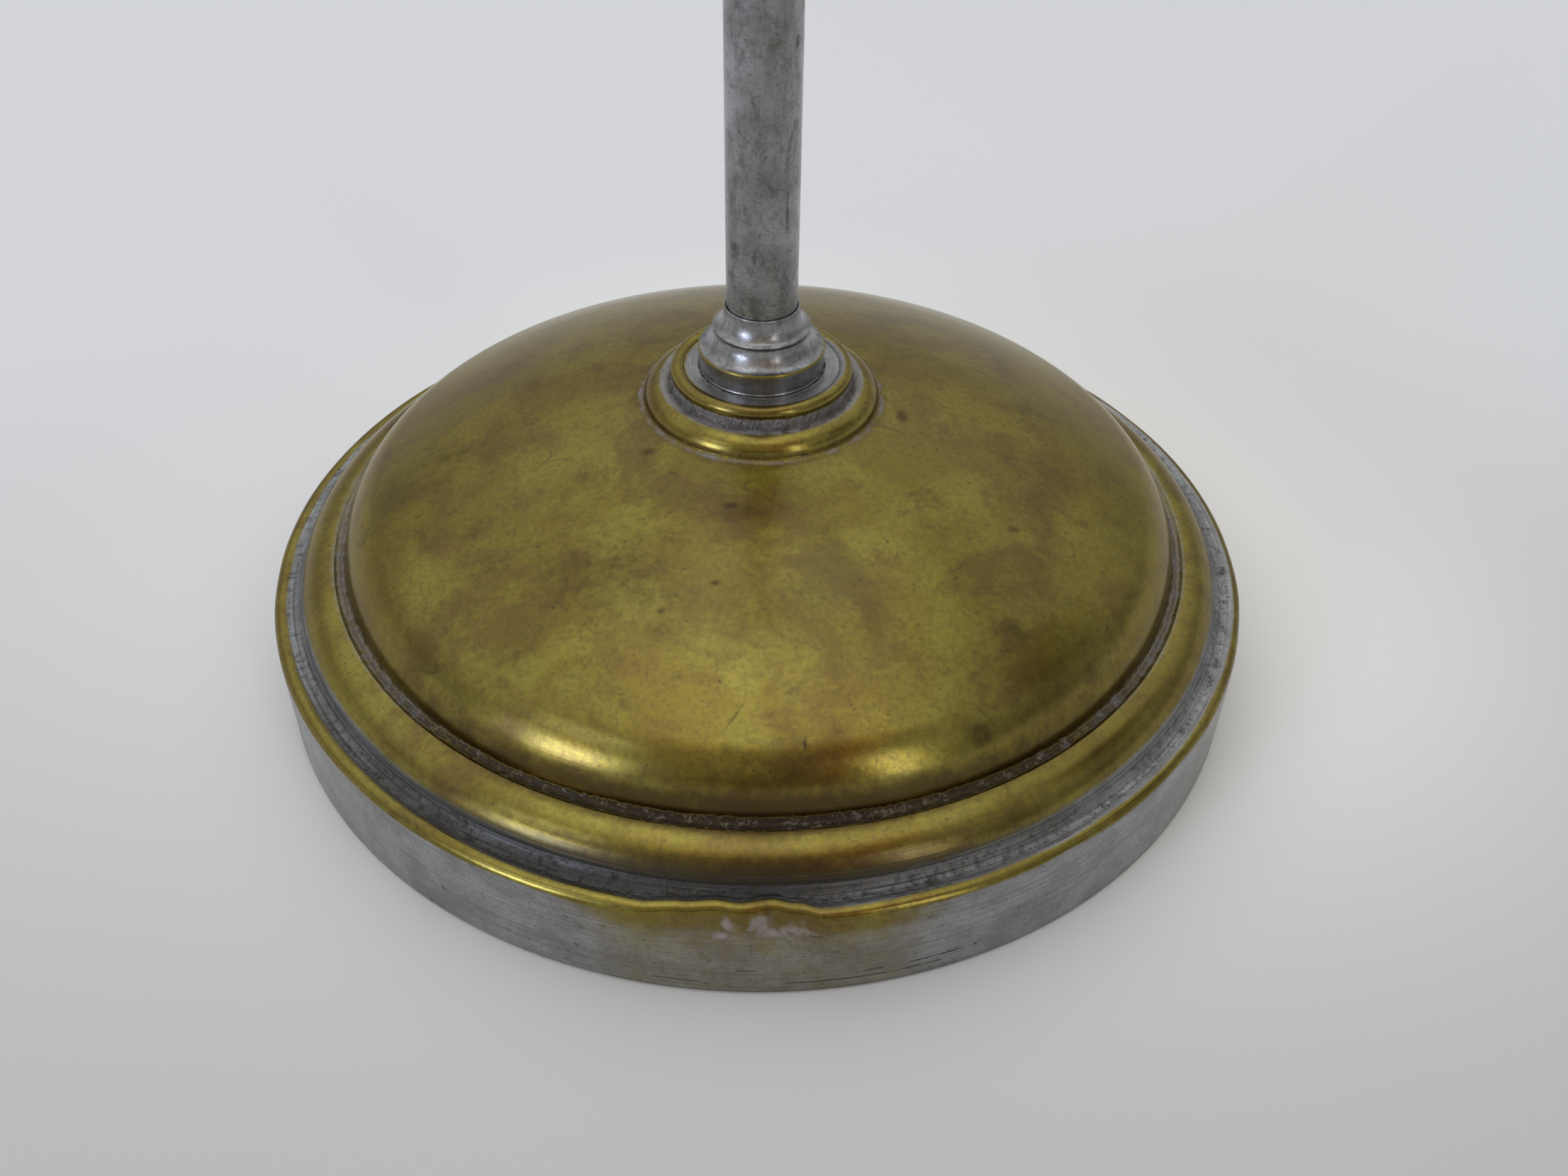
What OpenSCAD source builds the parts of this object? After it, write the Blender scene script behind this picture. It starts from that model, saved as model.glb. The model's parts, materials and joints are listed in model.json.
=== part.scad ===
// Articulated desk lamp: a weighted round base, a tube stem, two clamped knuckles,
// a keyed lampholder and a dome shade. Sizes are in millimetres. The lamp stands on
// z = 0 with its stem on the z axis. The arm leans towards +x and the shade hangs down.

/* [Base] */
// Outside diameter of the base
base_d = 152; // [140:1:170]
// Height of the rim's edge above the table
rim_h = 15.5; // [14:0.5:18]
// Rounding of the rim's edge
rim_edge_r = 1.3; // [1:0.1:1.6]
// Width of the flat band between the rim's outside and the ring
band_w = 4; // [3.5:0.5:6]
// Depth of the flat band below the rim's edge
band_drop = 0.7; // [0.3:0.1:0.9]
// Radius of the quarter-round ring around the dome
ring_r = 5.8; // [4.5:0.1:7]
// Width of the groove between the ring and the dome
groove_w = 1.6; // [1.2:0.1:2.2]
// Depth of that groove below the top of the ring
groove_d = 1.2; // [0.8:0.1:1.8]
// Radius of the dome's shoulder
shoulder_r = 11; // [9:0.5:14]
// Height of the dome's crown above the groove
dome_h = 24.5; // [22:0.5:28]
// Thickness of the spun sheet
sheet_t = 1.2; // [0.9:0.1:1.5]
// Diameter of the middle of the large bead on the crown
ridge_d = 29.5; // [28:0.1:32]
// Radius of the large bead
ridge_r = 2.8; // [2.4:0.1:3.2]
// Diameter of the middle of the small bead under the collar
bead_d = 24.8; // [23.4:0.2:26]
// Radius of the small bead
bead_r = 1.1; // [0.8:0.1:1.3]
// Height of the collar's seat above the crown
seat_rise = 3.9; // [3.4:0.1:4.6]
// Thickness of the felt under the base
felt_t = 1.6; // [1.2:0.1:2.4]
// How far the felt stands below the rim
felt_proud = 0.5; // [0.3:0.1:0.8]

/* [Ballast and stem fixing] */
// Height of the iron disc above the groove
ballast_over = 3; // [1:0.5:5]
// Diameter of the boss that carries the crown
boss_d = 19; // [16:0.5:20]
// Diameter of the recess under the ballast
recess_d = 36; // [32:1:44]
// Height of the recess's roof above the table
recess_h = 12; // [11:0.5:13]
// Width of the cord's channel through the ballast
channel_w = 17; // [17:1:22]
// Width of the stem nut across its flats
stem_nut_af = 17; // [15:1:19]
// Thickness of the stem nut
stem_nut_t = 4.5; // [3.5:0.5:5]
// Outside diameter of the stem washer
stem_washer_d = 27; // [24:1:30]
// Thickness of the stem washer
stem_washer_t = 1.5; // [1:0.1:2]
// Length of stem that shows below the nut
stem_tail = 1.2; // [0.6:0.1:2]

/* [Cord inlet] */
// Bore of the inlet bush
inlet_bore = 6.5; // [5.5:0.1:7]
// Outside diameter of the bush's barrel
inlet_barrel_d = 9; // [8.4:0.1:9.6]
// Length of the barrel inside the rim
inlet_barrel_l = 8; // [7:0.5:12]
// Diameter of the bush's flange
inlet_flange_d = 12; // [11:0.5:13]
// Thickness of the bush's flange
inlet_flange_t = 1.6; // [1.2:0.1:2.4]
// Height of the inlet's axis
inlet_h = 7.6; // [7.2:0.1:8]
// Width of the inlet's lock nut across its flats
inlet_nut_af = 11; // [10.8:0.1:11.4]
// Thickness of the inlet's lock nut
inlet_nut_t = 2.5; // [2:0.5:3.5]

/* [Stem] */
// Outside diameter of the stem
stem_d = 10.3; // [9.5:0.1:11]
// Bore of the stem
stem_bore = 7.6; // [7:0.1:7.8]
// Height of the lower knuckle's axis
knuckle_h = 330; // [280:1:400]
// Diameter of the collar at the foot of the stem
collar_d = 18.9; // [17.5:0.1:20]
// Height of the collar's plain disc
collar_disc_h = 3.6; // [3:0.1:4.5]
// Height of the round above the disc
collar_round_h = 2.9; // [2.4:0.1:3.4]
// Height of the hollow flare above the round
collar_flare_h = 3.3; // [2.8:0.1:4]
// Diameter of the flare's foot
collar_flare_d = 14.2; // [13.6:0.1:15]
// Width of the collar's lip round the stem
collar_lip = 0.35; // [0.2:0.05:0.5]
// Outside diameter of the ferrule at the top of the stem
ferrule_d = 15; // [14.5:0.5:17]
// Height of the ferrule
ferrule_h = 14; // [12:0.5:18]
// Diameter of the screw that keeps the swivel in the stem
keeper_d = 3; // [2.5:0.1:3.4]
// Diameter of that screw's head
keeper_head_d = 5; // [4.5:0.1:6]
// Depth of the groove that the screw's tip runs in
keeper_groove_d = 0.7; // [0.5:0.1:0.8]
// Thickness of the fibre washer under the swivel
swivel_washer_t = 0.8; // [0.5:0.1:1.2]

/* [Knuckles] */
// Diameter of a knuckle's discs
knuckle_d = 25; // [24:0.5:30]
// Thickness of one disc
lap_t = 5; // [4.8:0.1:6.5]
// Diameter of a knuckle's neck
neck_d = 8.6; // [8:0.1:9.4]
// Length of neck beyond the disc
neck_out = 7.5; // [6.5:0.5:12]
// Radius of the bead round a neck
neck_bead_r = 1.2; // [0.8:0.1:1.5]
// Thickness of the shoulder at the end of a neck
shoulder_t = 3; // [2:0.5:5]
// Length of the spigot that enters a tube
spigot_l = 14; // [12:0.5:18]
// Bore of the spigots and necks, which the flex runs through
wire_bore = 4.4; // [3.6:0.1:4.8]
// Outside diameter of the flex's ring-shaped cup inside a disc
cup_d = 17; // [16.5:0.5:18]
// Inside diameter of that cup, round the pivot
cup_hub_d = 8.4; // [7.8:0.1:9]
// Depth of the cup
cup_depth = 2.8; // [2.2:0.1:3.2]
// Thickness of the friction washer between two discs
washer_t = 0.8; // [0.5:0.1:1.2]

/* [Pivots and wing nuts] */
// Diameter of a pivot bolt
pivot_d = 5; // [4.5:0.1:5.6]
// Diameter of a pivot bolt's head
bolt_head_d = 10.4; // [9:0.2:12]
// Height of that head
bolt_head_h = 2.8; // [2.2:0.1:3.4]
// Outside diameter of the washer under a wing nut
cup_washer_d = 12; // [11:0.5:14]
// Thickness of that washer
cup_washer_t = 1.2; // [0.8:0.1:1.6]
// Diameter of a wing nut's foot
wing_hub_d = 11; // [10:0.2:13]
// Height of a wing nut's hub
wing_hub_h = 7; // [6:0.5:9]
// Span of a wing nut over its tips
wing_span = 31; // [28:0.5:36]
// Height of a wing nut over its tips
wing_h = 13.5; // [12:0.5:16]
// Thickness of a wing
wing_t = 2.4; // [1.8:0.1:3]
// Radius of a wing's tip
wing_tip_r = 3.6; // [3:0.1:4]
// Length of bolt that shows beyond a wing nut's hub
bolt_tail = 1.4; // [0.8:0.1:2.4]

/* [Arm] */
// Distance between the two knuckles' axes
arm_l = 300; // [240:1:360]
// Outside diameter of the arm's tube
arm_d = 9.5; // [9:0.1:10.6]
// Bore of the arm's tube
arm_bore = 7.2; // [6.6:0.1:7.6]
// Diameter of the shoulders that close the arm's tube
arm_shoulder_d = 12; // [11.2:0.1:13]
// Lean of the arm from upright, in degrees
arm_lean = 80; // [60:1:90]

/* [Lampholder] */
// Diameter of the bell that joins the knuckle to the lampholder
bell_d = 16; // [15:0.5:18]
// Length of that bell
bell_l = 9; // [8:0.5:12]
// Outside diameter of the nipple in the bell
nipple_d = 10; // [9.6:0.1:10.4]
// Bore of the nipple
nipple_bore = 7; // [6:0.1:7.4]
// Length of nipple inside the bell
nipple_up = 7.2; // [6:0.2:7.4]
// Length of nipple inside the cap
nipple_in = 5.5; // [5:0.5:7]
// Width of the nipple's nut across its flats
nipple_nut_af = 15; // [14:0.5:17]
// Thickness of the nipple's nut
nipple_nut_t = 3.4; // [2.6:0.1:4]
// Thickness of the holder's sheet brass
brass_t = 0.8; // [0.6:0.1:1]
// Outside diameter of the holder's shell
holder_d = 36; // [35:0.5:38]
// Depth of the cap over the holder's works
cap_h = 22; // [20:0.5:24]
// Height of the cap's straight skirt
cap_skirt_h = 9; // [8:0.5:10]
// Depth that the shell enters the cap
shell_lap = 4; // [3:0.5:5]
// Depth of the shell's open end below the cap's top
shell_end = 61; // [60:0.5:64]
// Depth of the insulator's top
insulator_top = 16; // [15:0.5:17]
// Depth of the insulator's underside
insulator_end = 37; // [36.5:0.5:38]
// Diameter of a terminal screw's head
terminal_d = 5; // [4:0.5:6]
// Thickness of the fibre liner inside the shell
liner_t = 0.7; // [0.5:0.1:0.9]
// Outside diameter of the screw shell, over its thread
screw_shell_d = 28; // [27.8:0.1:28.6]
// Depth of the screw shell's thread waves
thread_wave = 0.7; // [0.5:0.1:0.9]
// Thickness of the screw shell's sheet
screw_shell_t = 0.5; // [0.4:0.1:0.6]
// Width of the foot that the screw shell stands on
screw_foot_w = 3; // [2:0.5:4]
// Thickness of the centre contact's tongue
contact_t = 1.4; // [1:0.1:1.6]
// Radius of the bead round the holder's shell
shell_bead_r = 1; // [0.8:0.1:1.3]
// Pitch of the lamp thread
thread_pitch = 3.6; // [3.2:0.1:4]
// Number of thread waves in the screw shell
shell_waves = 5; // [4:1:5]

/* [Switch] */
// Depth of the key's axis below the cap's top
key_depth = 28; // [27.5:0.1:28.5]
// Diameter of the key's shaft
key_shaft_d = 3.8; // [3.4:0.1:4.2]
// Width of the key's paddle
key_w = 15; // [12:0.5:16]
// Length of the key's paddle
key_l = 12; // [10:0.5:14]
// Thickness of the key's paddle
key_t = 3; // [2.4:0.1:3.4]
// Length of shaft between the shell and the paddle
key_reach = 5; // [4.5:0.5:7]
// How far the key's bush stands out of the shell
key_bush_out = 1; // [0.6:0.1:1.6]
// Outside diameter of the key's bush
key_bush_d = 6.4; // [5.8:0.1:7]
// Side of the square cam inside the holder
cam_w = 7; // [6:0.1:7.2]
// Length of the cam along the shaft
cam_l = 5; // [4:0.5:6]
// Width of the cam's chamber
chamber_w = 13; // [12:0.5:14]
// Thickness of the contact leaf under the cam
leaf_t = 0.6; // [0.4:0.1:0.7]

/* [Shade] */
// Outside diameter of the shade's mouth, without its rolled edge
shade_d = 158; // [140:1:170]
// Depth of the shade's mouth below the cap's top
shade_end = 140; // [134:1:160]
// Height of the straight skirt at the shade's mouth
shade_skirt_h = 12; // [8:1:16]
// Radius of the shade's dome
shade_arc_r = 64; // [58:1:66]
// Thickness of the shade's sheet
shade_t = 0.9; // [0.7:0.1:1.2]
// Radius of the shade's rolled edge
shade_roll_r = 1.6; // [1.4:0.1:2.2]
// Outside diameter of the shade's neck
fitter_d = 56.4; // [54:0.2:58]
// How far the shade's neck flares before the dome starts
shade_flare = 5; // [4:0.5:7]
// Height of the shade's neck
fitter_h = 11; // [9:0.5:12]
// How far the neck's lip stands out
fitter_lip = 0.5; // [0.3:0.1:0.6]
// Depth of the gallery's top below the cap's top
gallery_top = 43; // [42.5:0.5:44]
// Thickness of the gallery's sheet
gallery_t = 1; // [0.8:0.1:1.2]
// Radial room between the gallery's skirt and the shade's neck
gallery_room = 0.8; // [0.7:0.1:1.2]
// Height of the gallery's sloping part
gallery_slope_h = 5; // [4:0.5:7]
// Height of the gallery's skirt
gallery_skirt_h = 10; // [8.5:0.5:12]
// Outside diameter of the lock ring under the gallery
lock_ring_d = 42; // [40:0.5:44]
// Height of the lock ring
lock_ring_h = 3.6; // [3:0.2:4.4]
// Diameter of a gallery screw
gallery_screw_d = 3; // [2.5:0.1:3.4]
// Diameter of a gallery screw's head
gallery_head_d = 7; // [6:0.5:8]
// Thickness of a gallery screw's head
gallery_head_t = 3; // [2.4:0.2:4]
// Number of gallery screws
gallery_screws_n = 3; // [3:1:4]

/* [Bulb] */
// Diameter of the glass
bulb_d = 45; // [42:0.5:50]
// Length of the bulb from its contact to the end of the glass
bulb_l = 75; // [70:1:78]
// Thickness of the glass
glass_t = 0.8; // [0.6:0.1:1]
// Diameter of the neck of the glass
bulb_neck_d = 24; // [23:0.2:24.4]
// Length of the bulb's cap
bulb_cap_l = 22; // [20:0.5:23]
// Thickness of the bulb cap's sheet
bulb_cap_t = 0.4; // [0.3:0.05:0.4]
// Height of the bulb's contact button
bulb_button_h = 1.6; // [1.2:0.1:2]
// Width of the black ring round the button
bulb_disc_w = 2; // [1.5:0.1:2.5]
// Depth of the glass's end inside the bulb's cap
bulb_glass_in = 4; // [3:0.5:6]
// Diameter of the ring of filament
filament_d = 18; // [14:1:22]
// Diameter of the filament's coil
filament_wire_d = 0.7; // [0.6:0.1:1]

/* [Fits] */
// Radial clearance of a turning fit
run_gap = 0.05; // [0.03:0.01:0.08]
// Clearance between two faces that slide on each other
face_gap = 0.1; // [0.05:0.05:0.2]
// Radial clearance of a fixed fit
seat_gap = 0.08; // [0.04:0.02:0.12]
// Clearance between the ballast and the shell
casting_gap = 0.3; // [0.2:0.1:0.6]
// Radial clearance round a knuckle's turning disc
lap_clear = 0.4; // [0.3:0.1:0.8]

/* [Hidden] */
$fn = 64;

// Overlap that joins two shapes of one piece, and reach of a cutter past a face
join = 0.2;
// Steps in a rounded stretch of an outline
arc_steps = 10;

// Radii and heights of the base
base_r = base_d / 2;
stem_r = stem_d / 2;
band_z = rim_h - band_drop;
ring_c = base_r - band_w - ring_r;
dome_r = ring_c - groove_w;
groove_z = band_z + ring_r - groove_d;
ring_end_a = 98;
shoulder_c = dome_r - shoulder_r;
crown_z = groove_z + dome_h;
crown_r = (pow(shoulder_c, 2) + pow(dome_h, 2) - pow(shoulder_r, 2)) / (2 * (dome_h - shoulder_r));
crown_c = crown_z - crown_r;
crown_a = atan2(groove_z - crown_c, shoulder_c);
ridge_at = ridge_d / 2;
bead_at = bead_d / 2;
seat_z = crown_z + seat_rise;
inner_r = base_r - sheet_t;
stem_hole_r = stem_r + seat_gap;

// Stem fixing under the ballast
stem_washer_z = recess_h - stem_washer_t;
stem_nut_z = stem_washer_z - stem_nut_t;
stem_foot_z = stem_nut_z - stem_tail;

// Knuckle lanes along the pivot: the parent's disc is behind, the child's is in front
knuckle_r = knuckle_d / 2;
neck_r = neck_d / 2;
neck_l = knuckle_r + neck_out;
lap_in = (washer_t + face_gap) / 2;
lap_out = lap_in + lap_t;
wing_seat = lap_out + cup_washer_t + face_gap;
port_r = cup_depth / 2;

// Heights along the stem and the arm
swivel_z = knuckle_h - neck_l - shoulder_t;
stem_top_z = swivel_z - face_gap - swivel_washer_t;
keeper_z = stem_top_z - ferrule_h / 2;
arm_tube_z = neck_l + shoulder_t;
arm_tube_l = arm_l - 2 * arm_tube_z;
head_x = arm_l * sin(arm_lean);
head_z = knuckle_h + arm_l * cos(arm_lean);
cap_z = head_z - neck_l - bell_l;

// Radii and depths of the lampholder, measured down from the top of its cap
holder_r = holder_d / 2;
holder_in_r = holder_r - brass_t;
cap_in_r = holder_r + seat_gap;
cap_r = cap_in_r + brass_t;
shell_top = cap_h - shell_lap;
insulator_r = holder_in_r - seat_gap;
screw_shell_l = shell_waves * thread_pitch;
thread_r = screw_shell_d / 2 - screw_shell_t - thread_wave / 2;
chamber_floor = key_depth + cam_w * sqrt(0.5) + 2 * face_gap + leaf_t;
gallery_skirt_r = fitter_d / 2 + gallery_room + gallery_t;
gallery_skirt_z = gallery_top + gallery_t + gallery_slope_h;
gallery_end = gallery_skirt_z + gallery_skirt_h;
gallery_screw_z = gallery_skirt_z + gallery_skirt_h * 0.62;

// Radii and depths of the shade and the bulb
shade_r = shade_d / 2;
shade_c = shade_r - shade_arc_r;
shade_arc_z = shade_end - shade_skirt_h;
fitter_r = fitter_d / 2;
fitter_top = gallery_skirt_z + gallery_t;
fitter_end = fitter_top + fitter_h;
shade_top_r = fitter_r + shade_flare;
bulb_top = insulator_end + contact_t + face_gap;
bulb_cap_top = bulb_top + bulb_button_h;
bulb_cap_end = bulb_cap_top + bulb_cap_l;
bulb_r = bulb_d / 2;
bulb_neck_r = bulb_neck_d / 2;
bulb_c = bulb_top + bulb_l - bulb_r;
glass_top = bulb_cap_top + bulb_glass_in;
bulb_stem_end = bulb_c - bulb_r * 0.55;
bulb_contact_r = 3 * contact_t;
bulb_disc_r = bulb_contact_r + bulb_disc_w;
bulb_post_r = bulb_neck_r / 4;

// Points along an arc, from angle a0 to angle a1
function arc(c, r, a0, a1, n = arc_steps) =
    [for (i = [0:n]) let (a = a0 + (a1 - a0) * i / n) c + r * [cos(a), sin(a)]];

// Angle at which a circle about the axis reaches radius r
function angle_at(r, circle_r) = acos(r / circle_r);

// Radius of the lamp thread at a depth below the thread's start
function wave(r, depth) = r + thread_wave / 2 * cos(360 * depth / thread_pitch);

// Points along the lamp thread, from depth d0 to depth d1
function wave_points(r, d0, d1, n) =
    [for (i = [0:n]) let (d = d0 + (d1 - d0) * i / n) [wave(r, d - d0), d]];

// Round bar along y
module rod_y(r, y0, y1) {
    translate([0, y1, 0]) rotate([90, 0, 0]) cylinder(r = r, h = y1 - y0);
}

// Flat ring along z
module ring(ro, ri, h) {
    difference() {
        cylinder(r = ro, h = h);
        translate([0, 0, -join]) cylinder(r = ri, h = h + 2 * join);
    }
}

// Flat ring along y
module ring_y(ro, ri, y0, y1) {
    translate([0, y1, 0]) rotate([90, 0, 0]) ring(ro, ri, y1 - y0);
}

// Six-sided nut along z
module hex_nut(af, bore_r, h) {
    difference() {
        cylinder(d = af / cos(30), h = h, $fn = 6);
        translate([0, 0, -join]) cylinder(r = bore_r, h = h + 2 * join);
    }
}

// Frame of the arm, with z along it from the lower knuckle
module on_arm() {
    translate([0, 0, knuckle_h]) rotate([0, arm_lean, 0]) children();
}

// Frame of the upper knuckle
module on_head() {
    translate([head_x, 0, head_z]) children();
}

// Frame of the lampholder, with z downwards from the top of its cap
module hang() {
    translate([head_x, 0, cap_z]) mirror([0, 0, 1]) children();
}

// Outside of the spun base from the rim's foot to the collar's seat
function base_outside() = concat(
    [[base_r, felt_proud]],
    arc([base_r - rim_edge_r, rim_h - rim_edge_r], rim_edge_r, 0, 180 - asin(1 - band_drop / rim_edge_r)),
    arc([ring_c, band_z], ring_r, 0, ring_end_a),
    [[ring_c + ring_r * cos(ring_end_a), groove_z]],
    arc([shoulder_c, groove_z], shoulder_r, 0, crown_a),
    arc([0, crown_c], crown_r, crown_a, angle_at(ridge_at + ridge_r, crown_r)),
    arc([ridge_at, crown_at(ridge_at + ridge_r)], ridge_r, 0, 120),
    arc([bead_at, seat_z - bead_r / 2], bead_r, -30, 150),
    [[stem_hole_r, seat_z]]
);

// Height of the crown at a radius
function crown_at(r) = crown_c + sqrt(pow(crown_r, 2) - pow(r, 2));

// Inside of the spun base from the collar's seat to the rim's foot
function base_inside() = concat(
    [[stem_hole_r, seat_z - sheet_t], [bead_at - bead_r, seat_z - sheet_t]],
    arc([0, crown_c], crown_r - sheet_t, angle_at(ridge_at, crown_r - sheet_t), crown_a),
    arc([shoulder_c, groove_z], shoulder_r - sheet_t, crown_a, 0),
    [
        [dome_r - sheet_t, groove_z - sheet_t],
        [ring_c + ring_r / 2, groove_z - sheet_t],
        [ring_c + ring_r - sheet_t, band_z - sheet_t],
        [inner_r, band_z - sheet_t],
        [inner_r, felt_proud]
    ]
);

module base_shell() {
    color("darkgoldenrod") difference() {
        rotate_extrude() polygon(concat(base_outside(), base_inside()));
        translate([0, 0, inlet_h]) rod_y(inlet_barrel_d / 2 + seat_gap, 0, base_r + join);
    }
}

module base_ballast() {
    disc_r = inner_r - casting_gap;
    disc_top = band_z - sheet_t - casting_gap;
    top_z = groove_z + ballast_over;
    top_r = shoulder_c + sqrt(pow(shoulder_r - sheet_t - casting_gap, 2) - pow(ballast_over, 2));
    channel_top = inlet_h + inlet_nut_af / 2 + casting_gap;
    channel_y = recess_d / 2 - join;
    color("dimgray") difference() {
        rotate_extrude() polygon([
            [stem_hole_r, recess_h], [stem_hole_r, seat_z - sheet_t], [boss_d / 2, seat_z - sheet_t],
            [boss_d / 2, top_z], [top_r, top_z], [top_r, disc_top], [disc_r, disc_top],
            [disc_r, felt_t], [recess_d / 2, felt_t], [recess_d / 2, recess_h]
        ]);
        translate([-channel_w / 2, channel_y, felt_t - join])
            cube([channel_w, base_r - channel_y, channel_top - felt_t + join]);
    }
}

module base_felt() {
    color("darkgreen") cylinder(r = inner_r - casting_gap, h = felt_t);
}

// The bush's barrel passes through the rim at the back, and its lock nut sits inside the rim
module cord_bush() {
    flange_y = base_r;
    color("black") translate([0, 0, inlet_h]) difference() {
        union() {
            rod_y(inlet_flange_d / 2, flange_y, flange_y + inlet_flange_t);
            rod_y(inlet_barrel_d / 2, flange_y - inlet_barrel_l, flange_y + join);
        }
        rod_y(inlet_bore / 2, flange_y - inlet_barrel_l - join, flange_y + inlet_flange_t + join);
    }
}

module cord_bush_nut() {
    corner_r = inlet_nut_af / 2 / cos(30);
    nut_y = sqrt(pow(inner_r, 2) - pow(corner_r, 2)) - seat_gap;
    color("silver") translate([0, nut_y, inlet_h]) rotate([90, 0, 0])
        hex_nut(inlet_nut_af, inlet_barrel_d / 2 + seat_gap, inlet_nut_t);
}

module stem_washer() {
    color("silver") translate([0, 0, stem_washer_z]) ring(stem_washer_d / 2, stem_hole_r, stem_washer_t);
}

module stem_nut() {
    color("goldenrod") translate([0, 0, stem_nut_z]) hex_nut(stem_nut_af, stem_hole_r, stem_nut_t);
}

module stem_tube() {
    color("silver") difference() {
        translate([0, 0, stem_foot_z]) ring(stem_r, stem_bore / 2, stem_top_z - stem_foot_z);
        translate([0, 0, keeper_z]) rod_y(keeper_d / 2 + seat_gap, -ferrule_d, 0);
    }
}

module stem_collar() {
    round_z = seat_z + collar_disc_h;
    flare_z = round_z + collar_round_h;
    top_z = flare_z + collar_flare_h;
    disc_r = collar_d / 2;
    flare_r = collar_flare_d / 2;
    lip_r = stem_hole_r + collar_lip;
    color("silver") rotate_extrude() polygon(concat(
        [[stem_hole_r, seat_z], [disc_r, seat_z], [disc_r, round_z]],
        [for (i = [1:arc_steps]) let (a = 90 * i / arc_steps)
            [flare_r + (disc_r - flare_r) * cos(a), round_z + collar_round_h * sin(a)]],
        [for (i = [1:arc_steps]) let (a = 80 * i / arc_steps)
            [lip_r + (flare_r - lip_r) * (1 - sin(a)), flare_z + collar_flare_h * (1 - cos(a))]],
        [[lip_r, top_z], [stem_hole_r, top_z]]
    ));
}

// Turned ferrule with three rounds, pressed on the top of the stem
module stem_ferrule() {
    round_r = ferrule_h / 6;
    core_r = ferrule_d / 2 - round_r / 2;
    foot_z = stem_top_z - ferrule_h;
    color("silver") difference() {
        union() {
            translate([0, 0, foot_z]) cylinder(r = core_r, h = ferrule_h);
            for (z = [foot_z + round_r, stem_top_z - round_r]) translate([0, 0, z])
                rotate_extrude() translate([ferrule_d / 2 - round_r, 0]) circle(r = round_r);
        }
        translate([0, 0, foot_z - join]) cylinder(r = stem_hole_r, h = ferrule_h + 2 * join);
        translate([0, 0, keeper_z]) rod_y(keeper_d / 2 + seat_gap, -ferrule_d, 0);
    }
}

// Slotted screw whose tip runs in the groove of the swivel's spigot
module swivel_keeper_screw() {
    core_r = ferrule_d / 2 - ferrule_h / 12;
    head_y = -core_r - face_gap;
    head_h = keeper_head_d * 0.4;
    slot_w = keeper_head_d / 6;
    color("goldenrod") translate([0, 0, keeper_z]) difference() {
        union() {
            rod_y(keeper_d / 2, head_y - join, -keeper_tip());
            rod_y(keeper_head_d / 2, head_y - head_h, head_y);
        }
        translate([-keeper_head_d, head_y - head_h - join, -slot_w / 2])
            cube([2 * keeper_head_d, head_h / 2 + join, slot_w]);
    }
}

// Radius of the groove's floor in the swivel's spigot, and of the screw's tip above it
function keeper_groove() = stem_bore / 2 - run_gap - keeper_groove_d;
function keeper_tip() = keeper_groove() + 2 * run_gap;

module swivel_washer() {
    color("saddlebrown") translate([0, 0, stem_top_z])
        ring(ferrule_d / 2 - ferrule_h / 12, stem_bore / 2, swivel_washer_t);
}

// One half of a knuckle: a lapped disc on the pivot's axis and a neck along -z.
// side is 1 for the disc behind and -1 for the disc in front.
module knuckle_half(side) {
    lane_y = side > 0 ? [-lap_out - join, lap_in] : [-lap_in, lap_out + join];
    disc_y = side > 0 ? [lap_in, lap_out] : [-lap_out, -lap_in];
    cup_y = side > 0 ? [lap_in - join, lap_in + cup_depth] : [-lap_in - cup_depth, -lap_in + join];
    port_y = side * (lap_in + port_r);
    difference() {
        union() {
            rod_y(knuckle_r, disc_y[0], disc_y[1]);
            difference() {
                translate([0, 0, -neck_l - join]) cylinder(r = neck_r, h = neck_l + join);
                rod_y(knuckle_r + lap_clear, lane_y[0], lane_y[1]);
            }
            translate([0, 0, -knuckle_r - neck_out / 2])
                rotate_extrude() translate([neck_r, 0]) circle(r = neck_bead_r);
            children();
        }
        rod_y(pivot_d / 2 + run_gap, -lap_out - join, lap_out + join);
        ring_y(cup_d / 2, cup_hub_d / 2, cup_y[0], cup_y[1]);
        translate([0, port_y, -neck_l]) cylinder(r = port_r, h = neck_l - cup_hub_d / 2 - port_r);
        translate([0, 0, -neck_l - bell_l - spigot_l - shoulder_t - join])
            cylinder(r = wire_bore / 2, h = neck_out / 2 + bell_l + spigot_l + shoulder_t + join);
    }
}

// Shoulder and spigot that close a tube, below a knuckle's neck
module shoulder_and_spigot(shoulder_d, tube_bore, gap) {
    translate([0, 0, -neck_l - shoulder_t]) cylinder(d = shoulder_d, h = shoulder_t);
    translate([0, 0, -neck_l - shoulder_t - spigot_l])
        cylinder(r = tube_bore / 2 - gap, h = spigot_l + join);
}

module friction_washer() {
    ring_y(knuckle_r - face_gap, cup_d / 2 + face_gap, lap_in - washer_t, lap_in);
}

// Slotted round-headed bolt, head behind and shank towards the front
module pivot_bolt() {
    slot_w = bolt_head_d / 8;
    difference() {
        union() {
            rod_y(pivot_d / 2, -wing_seat - wing_hub_h - bolt_tail, lap_out + join);
            translate([0, lap_out, 0]) rotate([-90, 0, 0])
                cylinder(d1 = bolt_head_d, d2 = bolt_head_d * 0.8, h = bolt_head_h);
        }
        translate([-bolt_head_d, lap_out + bolt_head_h / 2, -slot_w / 2])
            cube([2 * bolt_head_d, bolt_head_h, slot_w]);
    }
}

module cup_washer() {
    ring_y(cup_washer_d / 2, pivot_d / 2 + run_gap, -lap_out - cup_washer_t, -lap_out);
}

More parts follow.
